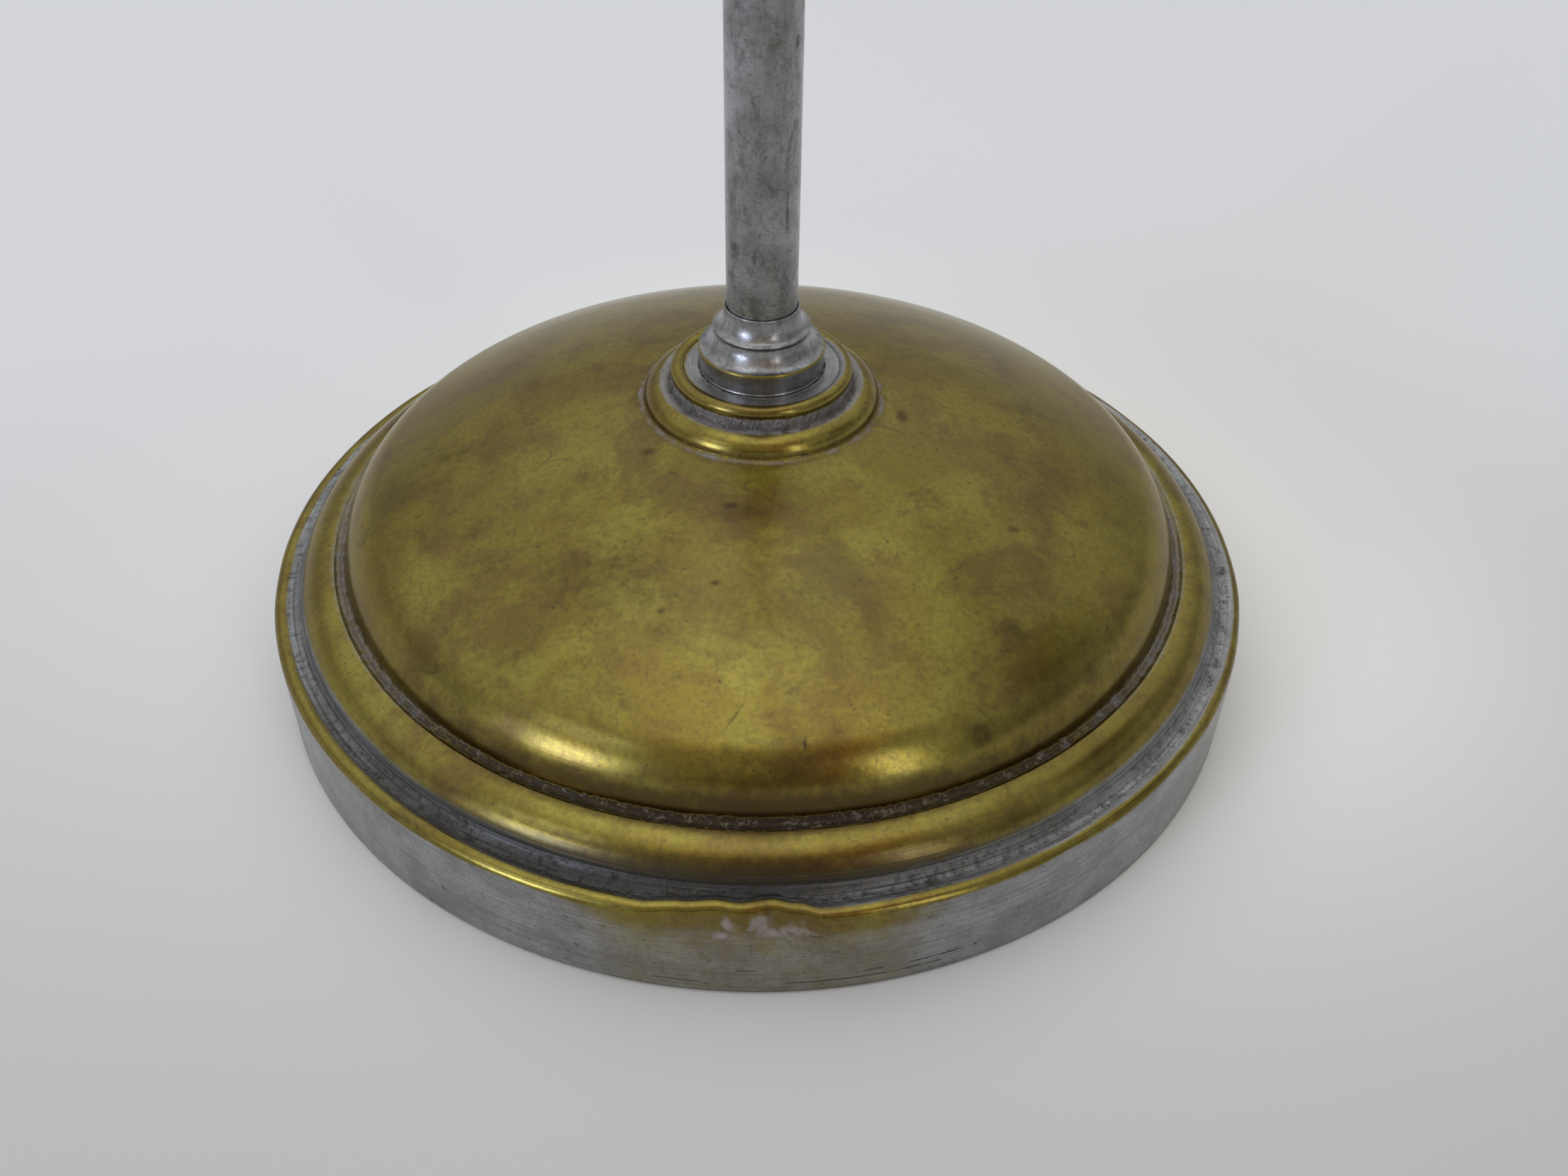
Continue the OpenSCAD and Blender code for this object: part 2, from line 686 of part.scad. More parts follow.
// Wing nut in front of a knuckle, with its wings rising towards the front
module wing_nut() {
    tip = [wing_span / 2 - wing_tip_r, wing_h - wing_tip_r];
    hub_top_r = wing_hub_d * 0.4;
    translate([0, -wing_seat, 0]) rotate([90, 0, 0]) difference() {
        union() {
            cylinder(d1 = wing_hub_d, r2 = hub_top_r, h = wing_hub_h);
            for (turn = [0, 180]) rotate([90, 0, turn]) linear_extrude(wing_t, center = true) {
                translate(tip) circle(r = wing_tip_r);
                polygon([
                    [pivot_d / 2 + run_gap, wing_hub_h / 5],
                    [hub_top_r, wing_hub_h / 5],
                    tip + wing_tip_r * [cos(-40), sin(-40)],
                    tip + wing_tip_r * [cos(140), sin(140)],
                    [pivot_d / 2 + run_gap, wing_hub_h * 0.9]
                ]);
            }
        }
        translate([0, 0, -join]) cylinder(r = pivot_d / 2 + run_gap, h = wing_hub_h + 2 * join);
    }
}

module lower_knuckle_base() {
    groove_h = keeper_d + 4 * face_gap;
    color("silver") translate([0, 0, knuckle_h]) difference() {
        knuckle_half(1) shoulder_and_spigot(ferrule_d, stem_bore, run_gap);
        translate([0, 0, keeper_z - knuckle_h - groove_h / 2]) ring(stem_bore, keeper_groove(), groove_h);
    }
}

module lower_friction_washer() {
    color("saddlebrown") translate([0, 0, knuckle_h]) friction_washer();
}

module lower_pivot_bolt() {
    color("goldenrod") translate([0, 0, knuckle_h]) pivot_bolt();
}

module lower_knuckle_arm() {
    color("silver") on_arm() rotate([0, 180, 0])
        knuckle_half(-1) shoulder_and_spigot(arm_shoulder_d, arm_bore, seat_gap);
}

module lower_cup_washer() {
    color("goldenrod") on_arm() cup_washer();
}

module lower_wing_nut() {
    color("silver") translate([0, 0, knuckle_h]) wing_nut();
}

module arm_tube() {
    color("silver") on_arm() translate([0, 0, arm_tube_z]) ring(arm_d / 2, arm_bore / 2, arm_tube_l);
}

module upper_knuckle_arm() {
    color("silver") on_arm() translate([0, 0, arm_l])
        knuckle_half(1) shoulder_and_spigot(arm_shoulder_d, arm_bore, seat_gap);
}

module upper_friction_washer() {
    color("saddlebrown") on_head() friction_washer();
}

module upper_pivot_bolt() {
    color("goldenrod") on_head() rotate([0, arm_lean, 0]) pivot_bolt();
}

module upper_knuckle_head() {
    color("silver") on_head() difference() {
        knuckle_half(-1) translate([0, 0, -neck_l - bell_l]) cylinder(d = bell_d, h = bell_l);
        translate([0, 0, -neck_l - bell_l - join])
            cylinder(r = nipple_d / 2 + seat_gap, h = nipple_up + join);
    }
}

module upper_cup_washer() {
    color("goldenrod") on_head() cup_washer();
}

module upper_wing_nut() {
    color("silver") on_head() wing_nut();
}

module holder_nipple() {
    color("goldenrod") hang() translate([0, 0, -nipple_up])
        ring(nipple_d / 2, nipple_bore / 2, nipple_up + nipple_in);
}

module nipple_nut() {
    color("goldenrod") hang() translate([0, 0, brass_t])
        hex_nut(nipple_nut_af, nipple_d / 2 + seat_gap, nipple_nut_t);
}

// Spun cap: a flat top round the nipple, a rounded shoulder and a straight skirt
module holder_cap() {
    top_r = bell_d / 2 + 1;
    skirt_z = cap_h - cap_skirt_h;
    function shoulder(r, z) = [for (i = [0:arc_steps]) let (a = 90 * i / arc_steps)
        [top_r + (r - top_r) * sin(a), skirt_z - (skirt_z - z) * cos(a)]];
    inside = shoulder(cap_in_r, brass_t);
    color("darkgoldenrod") hang() rotate_extrude() polygon(concat(
        [[nipple_d / 2 + seat_gap, brass_t], [nipple_d / 2 + seat_gap, 0]],
        shoulder(cap_r, 0),
        [[cap_r, cap_h], [cap_in_r, cap_h]],
        [for (i = [arc_steps:-1:0]) inside[i]]
    ));
}

// Shell of the lampholder, with a bead that carries the gallery and a hole for the key
module holder_shell() {
    color("darkgoldenrod") hang() difference() {
        union() {
            translate([0, 0, shell_top]) cylinder(r = holder_r, h = shell_end - shell_top);
            translate([0, 0, gallery_top - shell_bead_r])
                rotate_extrude() translate([holder_r, 0]) circle(r = shell_bead_r);
        }
        translate([0, 0, shell_top - join]) cylinder(r = holder_in_r, h = shell_end - shell_top + 2 * join);
        translate([0, 0, key_depth]) rod_y(key_bush_d / 2 + seat_gap, -holder_d, 0);
    }
}

// Porcelain body with the cam's chamber, the shaft's way in and the terminals' holes
module holder_insulator() {
    chamber_top = key_depth - cam_w * sqrt(0.5) - 2 * face_gap;
    color("white") hang() difference() {
        translate([0, 0, insulator_top]) cylinder(r = insulator_r, h = insulator_end - insulator_top);
        translate([-chamber_w / 2, -chamber_w / 2, chamber_top])
            cube([chamber_w, chamber_w, chamber_floor - chamber_top]);
        translate([0, 0, key_depth]) rod_y(key_bush_d / 2 + seat_gap, -holder_d, 0);
        translate([0, 0, chamber_floor - join])
            cylinder(r = contact_t + seat_gap, h = insulator_end - chamber_floor + 2 * join);
        for (x = terminal_x()) translate([x, 0, insulator_top - join])
            cylinder(d = terminal_d / 2 + 2 * seat_gap, h = terminal_d + join);
    }
}

function terminal_x() = [-(chamber_w / 2 + terminal_d), chamber_w / 2 + terminal_d];

module terminal_screws() {
    color("goldenrod") hang() for (x = terminal_x()) translate([x, 0, 0]) {
        translate([0, 0, insulator_top - terminal_d * 0.4]) cylinder(d = terminal_d, h = terminal_d * 0.4);
        translate([0, 0, insulator_top - join]) cylinder(d = terminal_d / 2, h = terminal_d);
    }
}

module holder_liner() {
    color("tan") hang() translate([0, 0, insulator_end])
        ring(holder_in_r - seat_gap, holder_in_r - seat_gap - liner_t, shell_end - insulator_end);
}

// Threaded shell that takes the bulb's cap, with a foot that stands on the insulator
module screw_shell() {
    foot_r = screw_shell_d / 2 - screw_shell_t;
    steps = 6 * shell_waves;
    end_z = insulator_end + screw_shell_t + screw_shell_l;
    inside = wave_points(thread_r, insulator_end + screw_shell_t, end_z, steps);
    outside = wave_points(thread_r + screw_shell_t, insulator_end + screw_shell_t, end_z, steps);
    color("goldenrod") hang() rotate_extrude() polygon(concat(
        [[thread_r - screw_foot_w, insulator_end], [foot_r, insulator_end]],
        outside,
        [for (i = [steps:-1:0]) inside[i]],
        [[thread_r - screw_foot_w, insulator_end + screw_shell_t]]
    ));
}

// Rivet through the insulator with the tongue that meets the bulb
module centre_contact() {
    color("goldenrod") hang() {
        translate([0, 0, chamber_floor]) cylinder(r = contact_t, h = insulator_end - chamber_floor + join);
        translate([0, 0, insulator_end]) cylinder(r = 3 * contact_t, h = contact_t);
    }
}

module contact_leaf() {
    color("goldenrod") hang() translate([-chamber_w / 4, -chamber_w / 2 + face_gap, chamber_floor - leaf_t])
        cube([chamber_w / 2, chamber_w - 2 * face_gap, leaf_t]);
}

module key_bush() {
    color("black") hang() translate([0, 0, key_depth])
        ring_y(key_bush_d / 2, key_shaft_d / 2 + run_gap, -holder_r - key_bush_out, -chamber_w / 2 - face_gap);
}

// Turn key: paddle outside, shaft through the bush, square cam in the chamber
module switch_key() {
    paddle_y = -holder_r - key_reach;
    paddle_r = key_w / 2;
    color("black") hang() translate([0, 0, key_depth]) {
        rod_y(key_shaft_d / 2, paddle_y - key_l / 2, cam_l / 2);
        translate([-cam_w / 2, -cam_l / 2, -cam_w / 2]) cube([cam_w, cam_l, cam_w]);
        translate([0, paddle_y, -key_t / 2]) linear_extrude(key_t) {
            intersection() {
                translate([0, paddle_r - key_l]) circle(r = paddle_r);
                translate([-paddle_r, -key_l]) square([key_w, key_l - key_l / 4]);
            }
            polygon([
                [-key_shaft_d / 2, 0], [key_shaft_d / 2, 0],
                [paddle_r * 0.92, -key_l / 3], [-paddle_r * 0.92, -key_l / 3]
            ]);
        }
    }
}

// Gallery that carries the shade: a flat ring, a slope and a skirt with screw holes
module shade_gallery() {
    hole_r = holder_r + seat_gap;
    flat_r = lock_ring_d / 2 + 1;
    color("darkgoldenrod") hang() difference() {
        rotate_extrude() polygon([
            [hole_r, gallery_top], [flat_r + gallery_t, gallery_top],
            [gallery_skirt_r, gallery_skirt_z], [gallery_skirt_r, gallery_end],
            [gallery_skirt_r - gallery_t, gallery_end], [gallery_skirt_r - gallery_t, gallery_skirt_z],
            [flat_r, gallery_top + gallery_t], [hole_r, gallery_top + gallery_t]
        ]);
        for (i = [0:gallery_screws_n - 1]) translate([0, 0, gallery_screw_z])
            rotate([0, 90, 360 * i / gallery_screws_n])
                cylinder(d = gallery_screw_d + 2 * seat_gap, h = 2 * gallery_skirt_r);
    }
}

module gallery_lock_ring() {
    color("goldenrod") hang() translate([0, 0, gallery_top + gallery_t])
        ring(lock_ring_d / 2, holder_r + seat_gap, lock_ring_h);
}

// Thumb screws whose tips bear on the shade's neck
module gallery_screws() {
    tip_r = fitter_r + face_gap;
    head_r = gallery_skirt_r + face_gap;
    color("goldenrod") hang() for (i = [0:gallery_screws_n - 1]) translate([0, 0, gallery_screw_z])
        rotate([0, 90, 360 * i / gallery_screws_n]) {
            translate([0, 0, tip_r]) cylinder(d = gallery_screw_d, h = head_r - tip_r + join);
            translate([0, 0, head_r]) cylinder(d = gallery_head_d, h = gallery_head_t);
        }
}

// Spun dome shade with a lipped neck and a rolled edge
module shade() {
    top_a = acos((shade_top_r - shade_c) / shade_arc_r);
    inner_top_a = acos((shade_top_r - shade_t - shade_c) / (shade_arc_r - shade_t));
    function dome(r, a0) = [for (i = [0:2 * arc_steps]) let (a = a0 * (1 - i / (2 * arc_steps)))
        [shade_c + r * cos(a), shade_arc_z - r * sin(a)]];
    inside = dome(shade_arc_r - shade_t, inner_top_a);
    color("darkolivegreen") hang() {
        rotate_extrude() polygon(concat(
            [
                [fitter_r - shade_t, fitter_top], [fitter_r + fitter_lip, fitter_top],
                [fitter_r + fitter_lip, fitter_top + shade_t], [fitter_r, fitter_top + shade_t],
                [fitter_r, fitter_end]
            ],
            dome(shade_arc_r, top_a),
            [[shade_r, shade_end], [shade_r - shade_t, shade_end]],
            [for (i = [2 * arc_steps:-1:0]) inside[i]],
            [[fitter_r - shade_t, fitter_end + shade_t]]
        ));
        translate([0, 0, shade_end]) rotate_extrude()
            translate([shade_r - shade_t / 2, 0]) circle(r = shade_roll_r);
    }
}

// Outline of the glass, from its neck to its end on the axis, drawn in by a thickness
function glass_outline(inset) = concat(
    [[bulb_neck_r - inset, glass_top], [bulb_neck_r - inset, bulb_cap_end]],
    arc([0, bulb_c], bulb_r - inset, -54, 90, 2 * arc_steps)
);

module bulb_glass() {
    outside = glass_outline(0);
    inside = glass_outline(glass_t);
    color("lightyellow") hang() rotate_extrude() polygon(concat(
        outside, [for (i = [len(inside) - 1:-1:0]) inside[i]]
    ));
}

// Threaded cap of the bulb, a clearance inside the screw shell's thread, closed round its neck
module bulb_cap() {
    thread_z = insulator_end + screw_shell_t;
    steps = 6 * shell_waves;
    cap_thread_r = thread_r - 2 * face_gap;
    end_r = bulb_neck_r + seat_gap;
    end_z = thread_z + screw_shell_l;
    function side(inset, top) = [
        for (p = wave_points(cap_thread_r - inset, thread_z, end_z, steps)) if (p[1] > top) p
    ];
    outside = side(0, bulb_cap_top);
    inside = side(bulb_cap_t, bulb_cap_top + bulb_cap_t);
    color("goldenrod") hang() rotate_extrude() polygon(concat(
        [[bulb_disc_r, bulb_cap_top], [outside[0][0], bulb_cap_top]],
        outside,
        [[end_r + bulb_cap_t, bulb_cap_end], [end_r, bulb_cap_end]],
        [for (i = [len(inside) - 1:-1:0]) inside[i]],
        [[inside[0][0], bulb_cap_top + bulb_cap_t], [bulb_disc_r, bulb_cap_top + bulb_cap_t]]
    ));
}

// Contact button of the bulb on the black disc that closes the cap
module bulb_contact() {
    color("black") hang() translate([0, 0, bulb_top]) {
        cylinder(r = bulb_contact_r, h = bulb_button_h + join);
        translate([0, 0, bulb_button_h / 2]) cylinder(r = bulb_disc_r - seat_gap, h = bulb_button_h);
    }
}

// Glass stem inside the bulb: a foot on the neck and a post for the filament's leads
module bulb_stem() {
    foot_r = bulb_neck_r - glass_t - seat_gap;
    foot_t = 2 * glass_t;
    color("lightyellow") hang() rotate_extrude() polygon([
        [0, glass_top], [foot_r, glass_top], [foot_r, glass_top + foot_t],
        [bulb_post_r * 1.5, glass_top + 3 * foot_t], [bulb_post_r, glass_top + 5 * foot_t],
        [bulb_post_r, bulb_stem_end], [0, bulb_stem_end]
    ]);
}

// Ring of filament on two leads that splay from the end of the post
module bulb_filament() {
    ring_z = bulb_c + bulb_r * 0.1;
    ring_r = filament_d / 2;
    wire_r = filament_wire_d / 2;
    lead_r = 1.4 * wire_r;
    lead_x = bulb_post_r / 2;
    lead_z = bulb_stem_end + lead_r + seat_gap;
    lead_a = atan2(ring_r - lead_x, ring_z - lead_z);
    lead_l = norm([ring_r - lead_x, ring_z - lead_z]) + wire_r;
    gap_a = 20;
    color("gray") hang() {
        translate([0, 0, ring_z]) rotate([0, 0, gap_a]) rotate_extrude(angle = 360 - 2 * gap_a)
            translate([ring_r, 0]) circle(r = wire_r);
        for (turn = [gap_a, -gap_a]) rotate([0, 0, turn])
            translate([lead_x, 0, lead_z]) rotate([0, lead_a, 0]) cylinder(r = lead_r, h = lead_l);
    }
}

base_shell();
base_ballast();
base_felt();
cord_bush();
cord_bush_nut();
stem_washer();
stem_nut();
stem_tube();
stem_collar();
stem_ferrule();
swivel_keeper_screw();
swivel_washer();
lower_knuckle_base();
lower_friction_washer();
lower_pivot_bolt();
lower_knuckle_arm();
lower_cup_washer();
lower_wing_nut();
arm_tube();
upper_knuckle_arm();
upper_friction_washer();
upper_pivot_bolt();
upper_knuckle_head();
upper_cup_washer();
upper_wing_nut();
holder_nipple();
nipple_nut();
holder_cap();
holder_shell();
holder_insulator();
terminal_screws();
holder_liner();
screw_shell();
centre_contact();
contact_leaf();
key_bush();
switch_key();
shade_gallery();
gallery_lock_ring();
gallery_screws();
shade();
bulb_glass();
bulb_cap();
bulb_contact();
bulb_stem();
bulb_filament();
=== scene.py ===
"""Looks of an articulated desk lamp: worn nickel plate over spun brass, seen from above its base.

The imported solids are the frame. Turned pieces are drawn again here as fine lathe meshes, other
outside pieces as copies with eased edges, and every piece gets a procedural material. Sizes in
the outlines are millimetres from the lamp's origin, the centre of the base's underside.
"""

import json
import math

import bmesh
import bpy
from mathutils import Matrix, Vector, noise

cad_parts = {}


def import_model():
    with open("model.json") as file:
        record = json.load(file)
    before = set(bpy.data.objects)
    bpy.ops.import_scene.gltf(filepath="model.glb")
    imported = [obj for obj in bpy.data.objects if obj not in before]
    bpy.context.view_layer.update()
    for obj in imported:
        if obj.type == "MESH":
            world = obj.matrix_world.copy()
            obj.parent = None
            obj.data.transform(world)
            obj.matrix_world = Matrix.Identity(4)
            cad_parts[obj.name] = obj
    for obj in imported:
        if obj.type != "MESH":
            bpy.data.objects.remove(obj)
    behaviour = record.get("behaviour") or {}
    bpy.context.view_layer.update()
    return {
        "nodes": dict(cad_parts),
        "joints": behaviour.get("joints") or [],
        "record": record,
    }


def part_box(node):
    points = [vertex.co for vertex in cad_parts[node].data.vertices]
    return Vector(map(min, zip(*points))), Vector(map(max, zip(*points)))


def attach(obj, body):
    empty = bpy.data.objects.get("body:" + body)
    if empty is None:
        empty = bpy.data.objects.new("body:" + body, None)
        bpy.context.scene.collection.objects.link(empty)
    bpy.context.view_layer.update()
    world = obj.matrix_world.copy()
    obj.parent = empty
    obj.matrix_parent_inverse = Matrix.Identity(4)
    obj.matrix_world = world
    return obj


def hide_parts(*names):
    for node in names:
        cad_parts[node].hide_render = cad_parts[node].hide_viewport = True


MM = 0.001
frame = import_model()
nodes = frame["nodes"]
scene = bpy.context.scene


# Sizes of the base, in millimetres
BASE_R = 76.0
RIM_H = 15.5
RIM_EDGE_R = 1.3
BAND_Z = 14.8
COVE_R = 2.0
RING_R = 5.8
RING_C = 66.2
GROOVE_Z = 19.4
GROOVE_FILL = 0.3
DOME_R = 64.6
SHOULDER_R = 11.0
DOME_H = 24.5
SHEET_T = 1.2
RIDGE_AT = 14.75
RIDGE_R = 2.8
BEAD_AT = 12.4
BEAD_R = 1.1
SEAT_Z = 47.8
STEM_R = 5.15
STEM_BORE_R = 3.8
STEM_HOLE_R = 5.23
FOOT_Z = 0.5
# Degrees up the shoulder where the dirt in the groove ends
DIRT_END_A = 9
SHOULDER_C = DOME_R - SHOULDER_R
CROWN_Z = GROOVE_Z + DOME_H
CROWN_R = (SHOULDER_C**2 + DOME_H**2 - SHOULDER_R**2) / (2 * (DOME_H - SHOULDER_R))
CROWN_C = CROWN_Z - CROWN_R
CROWN_A = math.degrees(math.atan2(GROOVE_Z - CROWN_C, SHOULDER_C))
RIDGE_END = RIDGE_AT + RIDGE_R
RING_END = RING_C + RING_R
FRONT = -math.pi / 2


# Outlines
def arc(centre, radius, start, end, step=0.4):
    """Points along an arc from angle start to angle end, in degrees, about step millimetres apart."""
    length = abs(math.radians(end - start)) * radius
    count = max(6, math.ceil(length / step))
    turns = [math.radians(start + (end - start) * i / count) for i in range(count + 1)]
    return [(centre[0] + radius * math.cos(a), centre[1] + radius * math.sin(a)) for a in turns]


def sag(start, middle, end, t):
    """The point at a share t of the curve from start to end that is drawn towards middle."""
    point = Vector(start) * (1 - t) ** 2 + Vector(middle) * 2 * t * (1 - t) + Vector(end) * t**2
    return (point.x, point.y)


def soften(points, radius, closed=False, sharp=15.0):
    """The outline with every corner sharper than sharp degrees replaced by a small arc."""
    result = []
    count = len(points)
    for i, p in enumerate(points):
        if not closed and i in (0, count - 1):
            result.append(p)
            continue
        before = Vector(points[i - 1]) - Vector(p)
        after = Vector(points[(i + 1) % count]) - Vector(p)
        if min(before.length, after.length) < 1e-6:
            continue
        bend = 180 - math.degrees(before.angle(after))
        if bend < sharp:
            result.append(p)
            continue
        cut = min(radius * math.tan(math.radians(bend) / 2), 0.45 * before.length, 0.45 * after.length)
        a = Vector(p) + before.normalized() * cut
        b = Vector(p) + after.normalized() * cut
        result += [sag(a, p, b, k / 4) for k in range(5)]
    return result


def divide(points, step, closed=False):
    """The outline with its long stretches divided into pieces of at most step millimetres."""
    ends = points[1:] + points[:1] if closed else points[1:]
    result = []
    for p, q in zip(points, ends):
        count = max(1, math.ceil(math.dist(p, q) / step))
        for i in range(count):
            result.append((p[0] + (q[0] - p[0]) * i / count, p[1] + (q[1] - p[1]) * i / count))
    return result if closed else result + [points[-1]]


def rounded(points, radius, step):
    """A closed outline with eased corners and short stretches."""
    return divide(soften(points, radius, closed=True), step, closed=True)


# Meshes
def new_piece(name, verts, faces):
    mesh = bpy.data.meshes.new(name)
    mesh.from_pydata(verts, [], faces)
    mesh.update()
    mesh.shade_smooth()
    obj = bpy.data.objects.new(name, mesh)
    scene.collection.objects.link(obj)
    return obj


def add_values(obj, name, values):
    """Stores one number per vertex for a material to read."""
    obj.data.attributes.new(name, "FLOAT", "POINT").data.foreach_set("value", values)


def lathe(name, outline, angles=96, shift=None, place=Matrix.Identity(4), values=None):
    """Turns a closed outline of (radius, height), run with the metal on its left, about z.

    angles is a count or a list of angles in radians. shift(r, z, angle) moves a point, in
    millimetres. Each vertex keeps where it lies round and along the outline in "turned", and a
    number from each function of (r, z, angle) in values, under that function's key.
    """
    if isinstance(angles, int):
        angles = [2 * math.pi * i / angles for i in range(angles)]
    run = [0.0]
    for p, q in zip(outline, outline[1:]):
        run.append(run[-1] + math.dist(p, q))
    verts = []
    turned = []
    for (r, z), along in zip(outline, run):
        for a in angles:
            p = Vector((r * math.cos(a), r * math.sin(a), z))
            if shift:
                p += shift(r, z, a)
            verts.append(place @ (p * MM))
            turned += (math.cos(a), math.sin(a), along)
    faces = []
    count = len(angles)
    for row in range(len(outline)):
        low = row * count
        high = (row + 1) % len(outline) * count
        for i in range(count):
            j = (i + 1) % count
            faces.append((low + i, low + j, high + j, high + i))
    obj = new_piece(name, verts, faces)
    obj.data.attributes.new("turned", "FLOAT_VECTOR", "POINT").data.foreach_set("vector", turned)
    for key, value in (values or {}).items():
        add_values(obj, key, [value(r, z, a) for r, z in outline for a in angles])
    return obj


# How a copied solid's edges are found: weld distance in millimetres, angles in degrees
WELD = 0.003
FLAT_ANGLE = 0.5
EDGE_ANGLE = 32
CREASE_ANGLE = 38
EDGE_WEAR = 0.5


def eased(node, width):
    """A copy of a solid with its sharp edges rounded over. The rounded edges are where plate wears."""
    solid = nodes[node].data
    obj = new_piece("lamp_" + node, [v.co for v in solid.vertices], [p.vertices for p in solid.polygons])
    form = bmesh.new()
    form.from_mesh(obj.data)
    bmesh.ops.remove_doubles(form, verts=form.verts[:], dist=WELD * MM)
    flat = math.radians(FLAT_ANGLE)
    bmesh.ops.dissolve_limit(form, angle_limit=flat, verts=form.verts[:], edges=form.edges[:])
    corner = math.radians(EDGE_ANGLE)
    sharp = [e for e in form.edges if len(e.link_faces) == 2 and e.calc_face_angle(0) > corner]
    made = bmesh.ops.bevel(
        form,
        geom=sharp,
        offset=width * MM,
        offset_type="OFFSET",
        segments=2,
        profile=0.5,
        affect="EDGES",
        clamp_overlap=True,
    )
    form.verts.index_update()
    edge = {v.index for f in made["faces"] for v in f.verts}
    worn = [EDGE_WEAR if i in edge else 0.0 for i in range(len(form.verts))]
    form.to_mesh(obj.data)
    form.free()
    obj.data.shade_smooth()
    obj.data.set_sharp_from_angle(angle=math.radians(CREASE_ANGLE))
    add_values(obj, "worn", worn)
    return obj


# Soft shapes of wear
def smooth_step(low, high, x):
    t = min(1.0, max(0.0, (x - low) / (high - low)))
    return t * t * (3 - 2 * t)


def window(low, high, soft, x):
    """1 between low and high, falling to 0 over soft outside them."""
    return smooth_step(low - soft, low, x) * (1 - smooth_step(high, high + soft, x))


def spot(across, along=0.0):
    """1 in the middle of a soft spot, about a third at a distance of 1."""
    return math.exp(-(across**2) - along**2)


def plan(r, angle):
    """x and y of a point."""
    return (r * math.cos(angle), r * math.sin(angle))


def frontness(angle, power=2):
    """1 at the very front, falling to 0 at the sides."""
    return max(0.0, -math.sin(angle)) ** power


# Material building
def colour(value):
    return (*value, 1.0) if isinstance(value, tuple) and len(value) == 3 else value


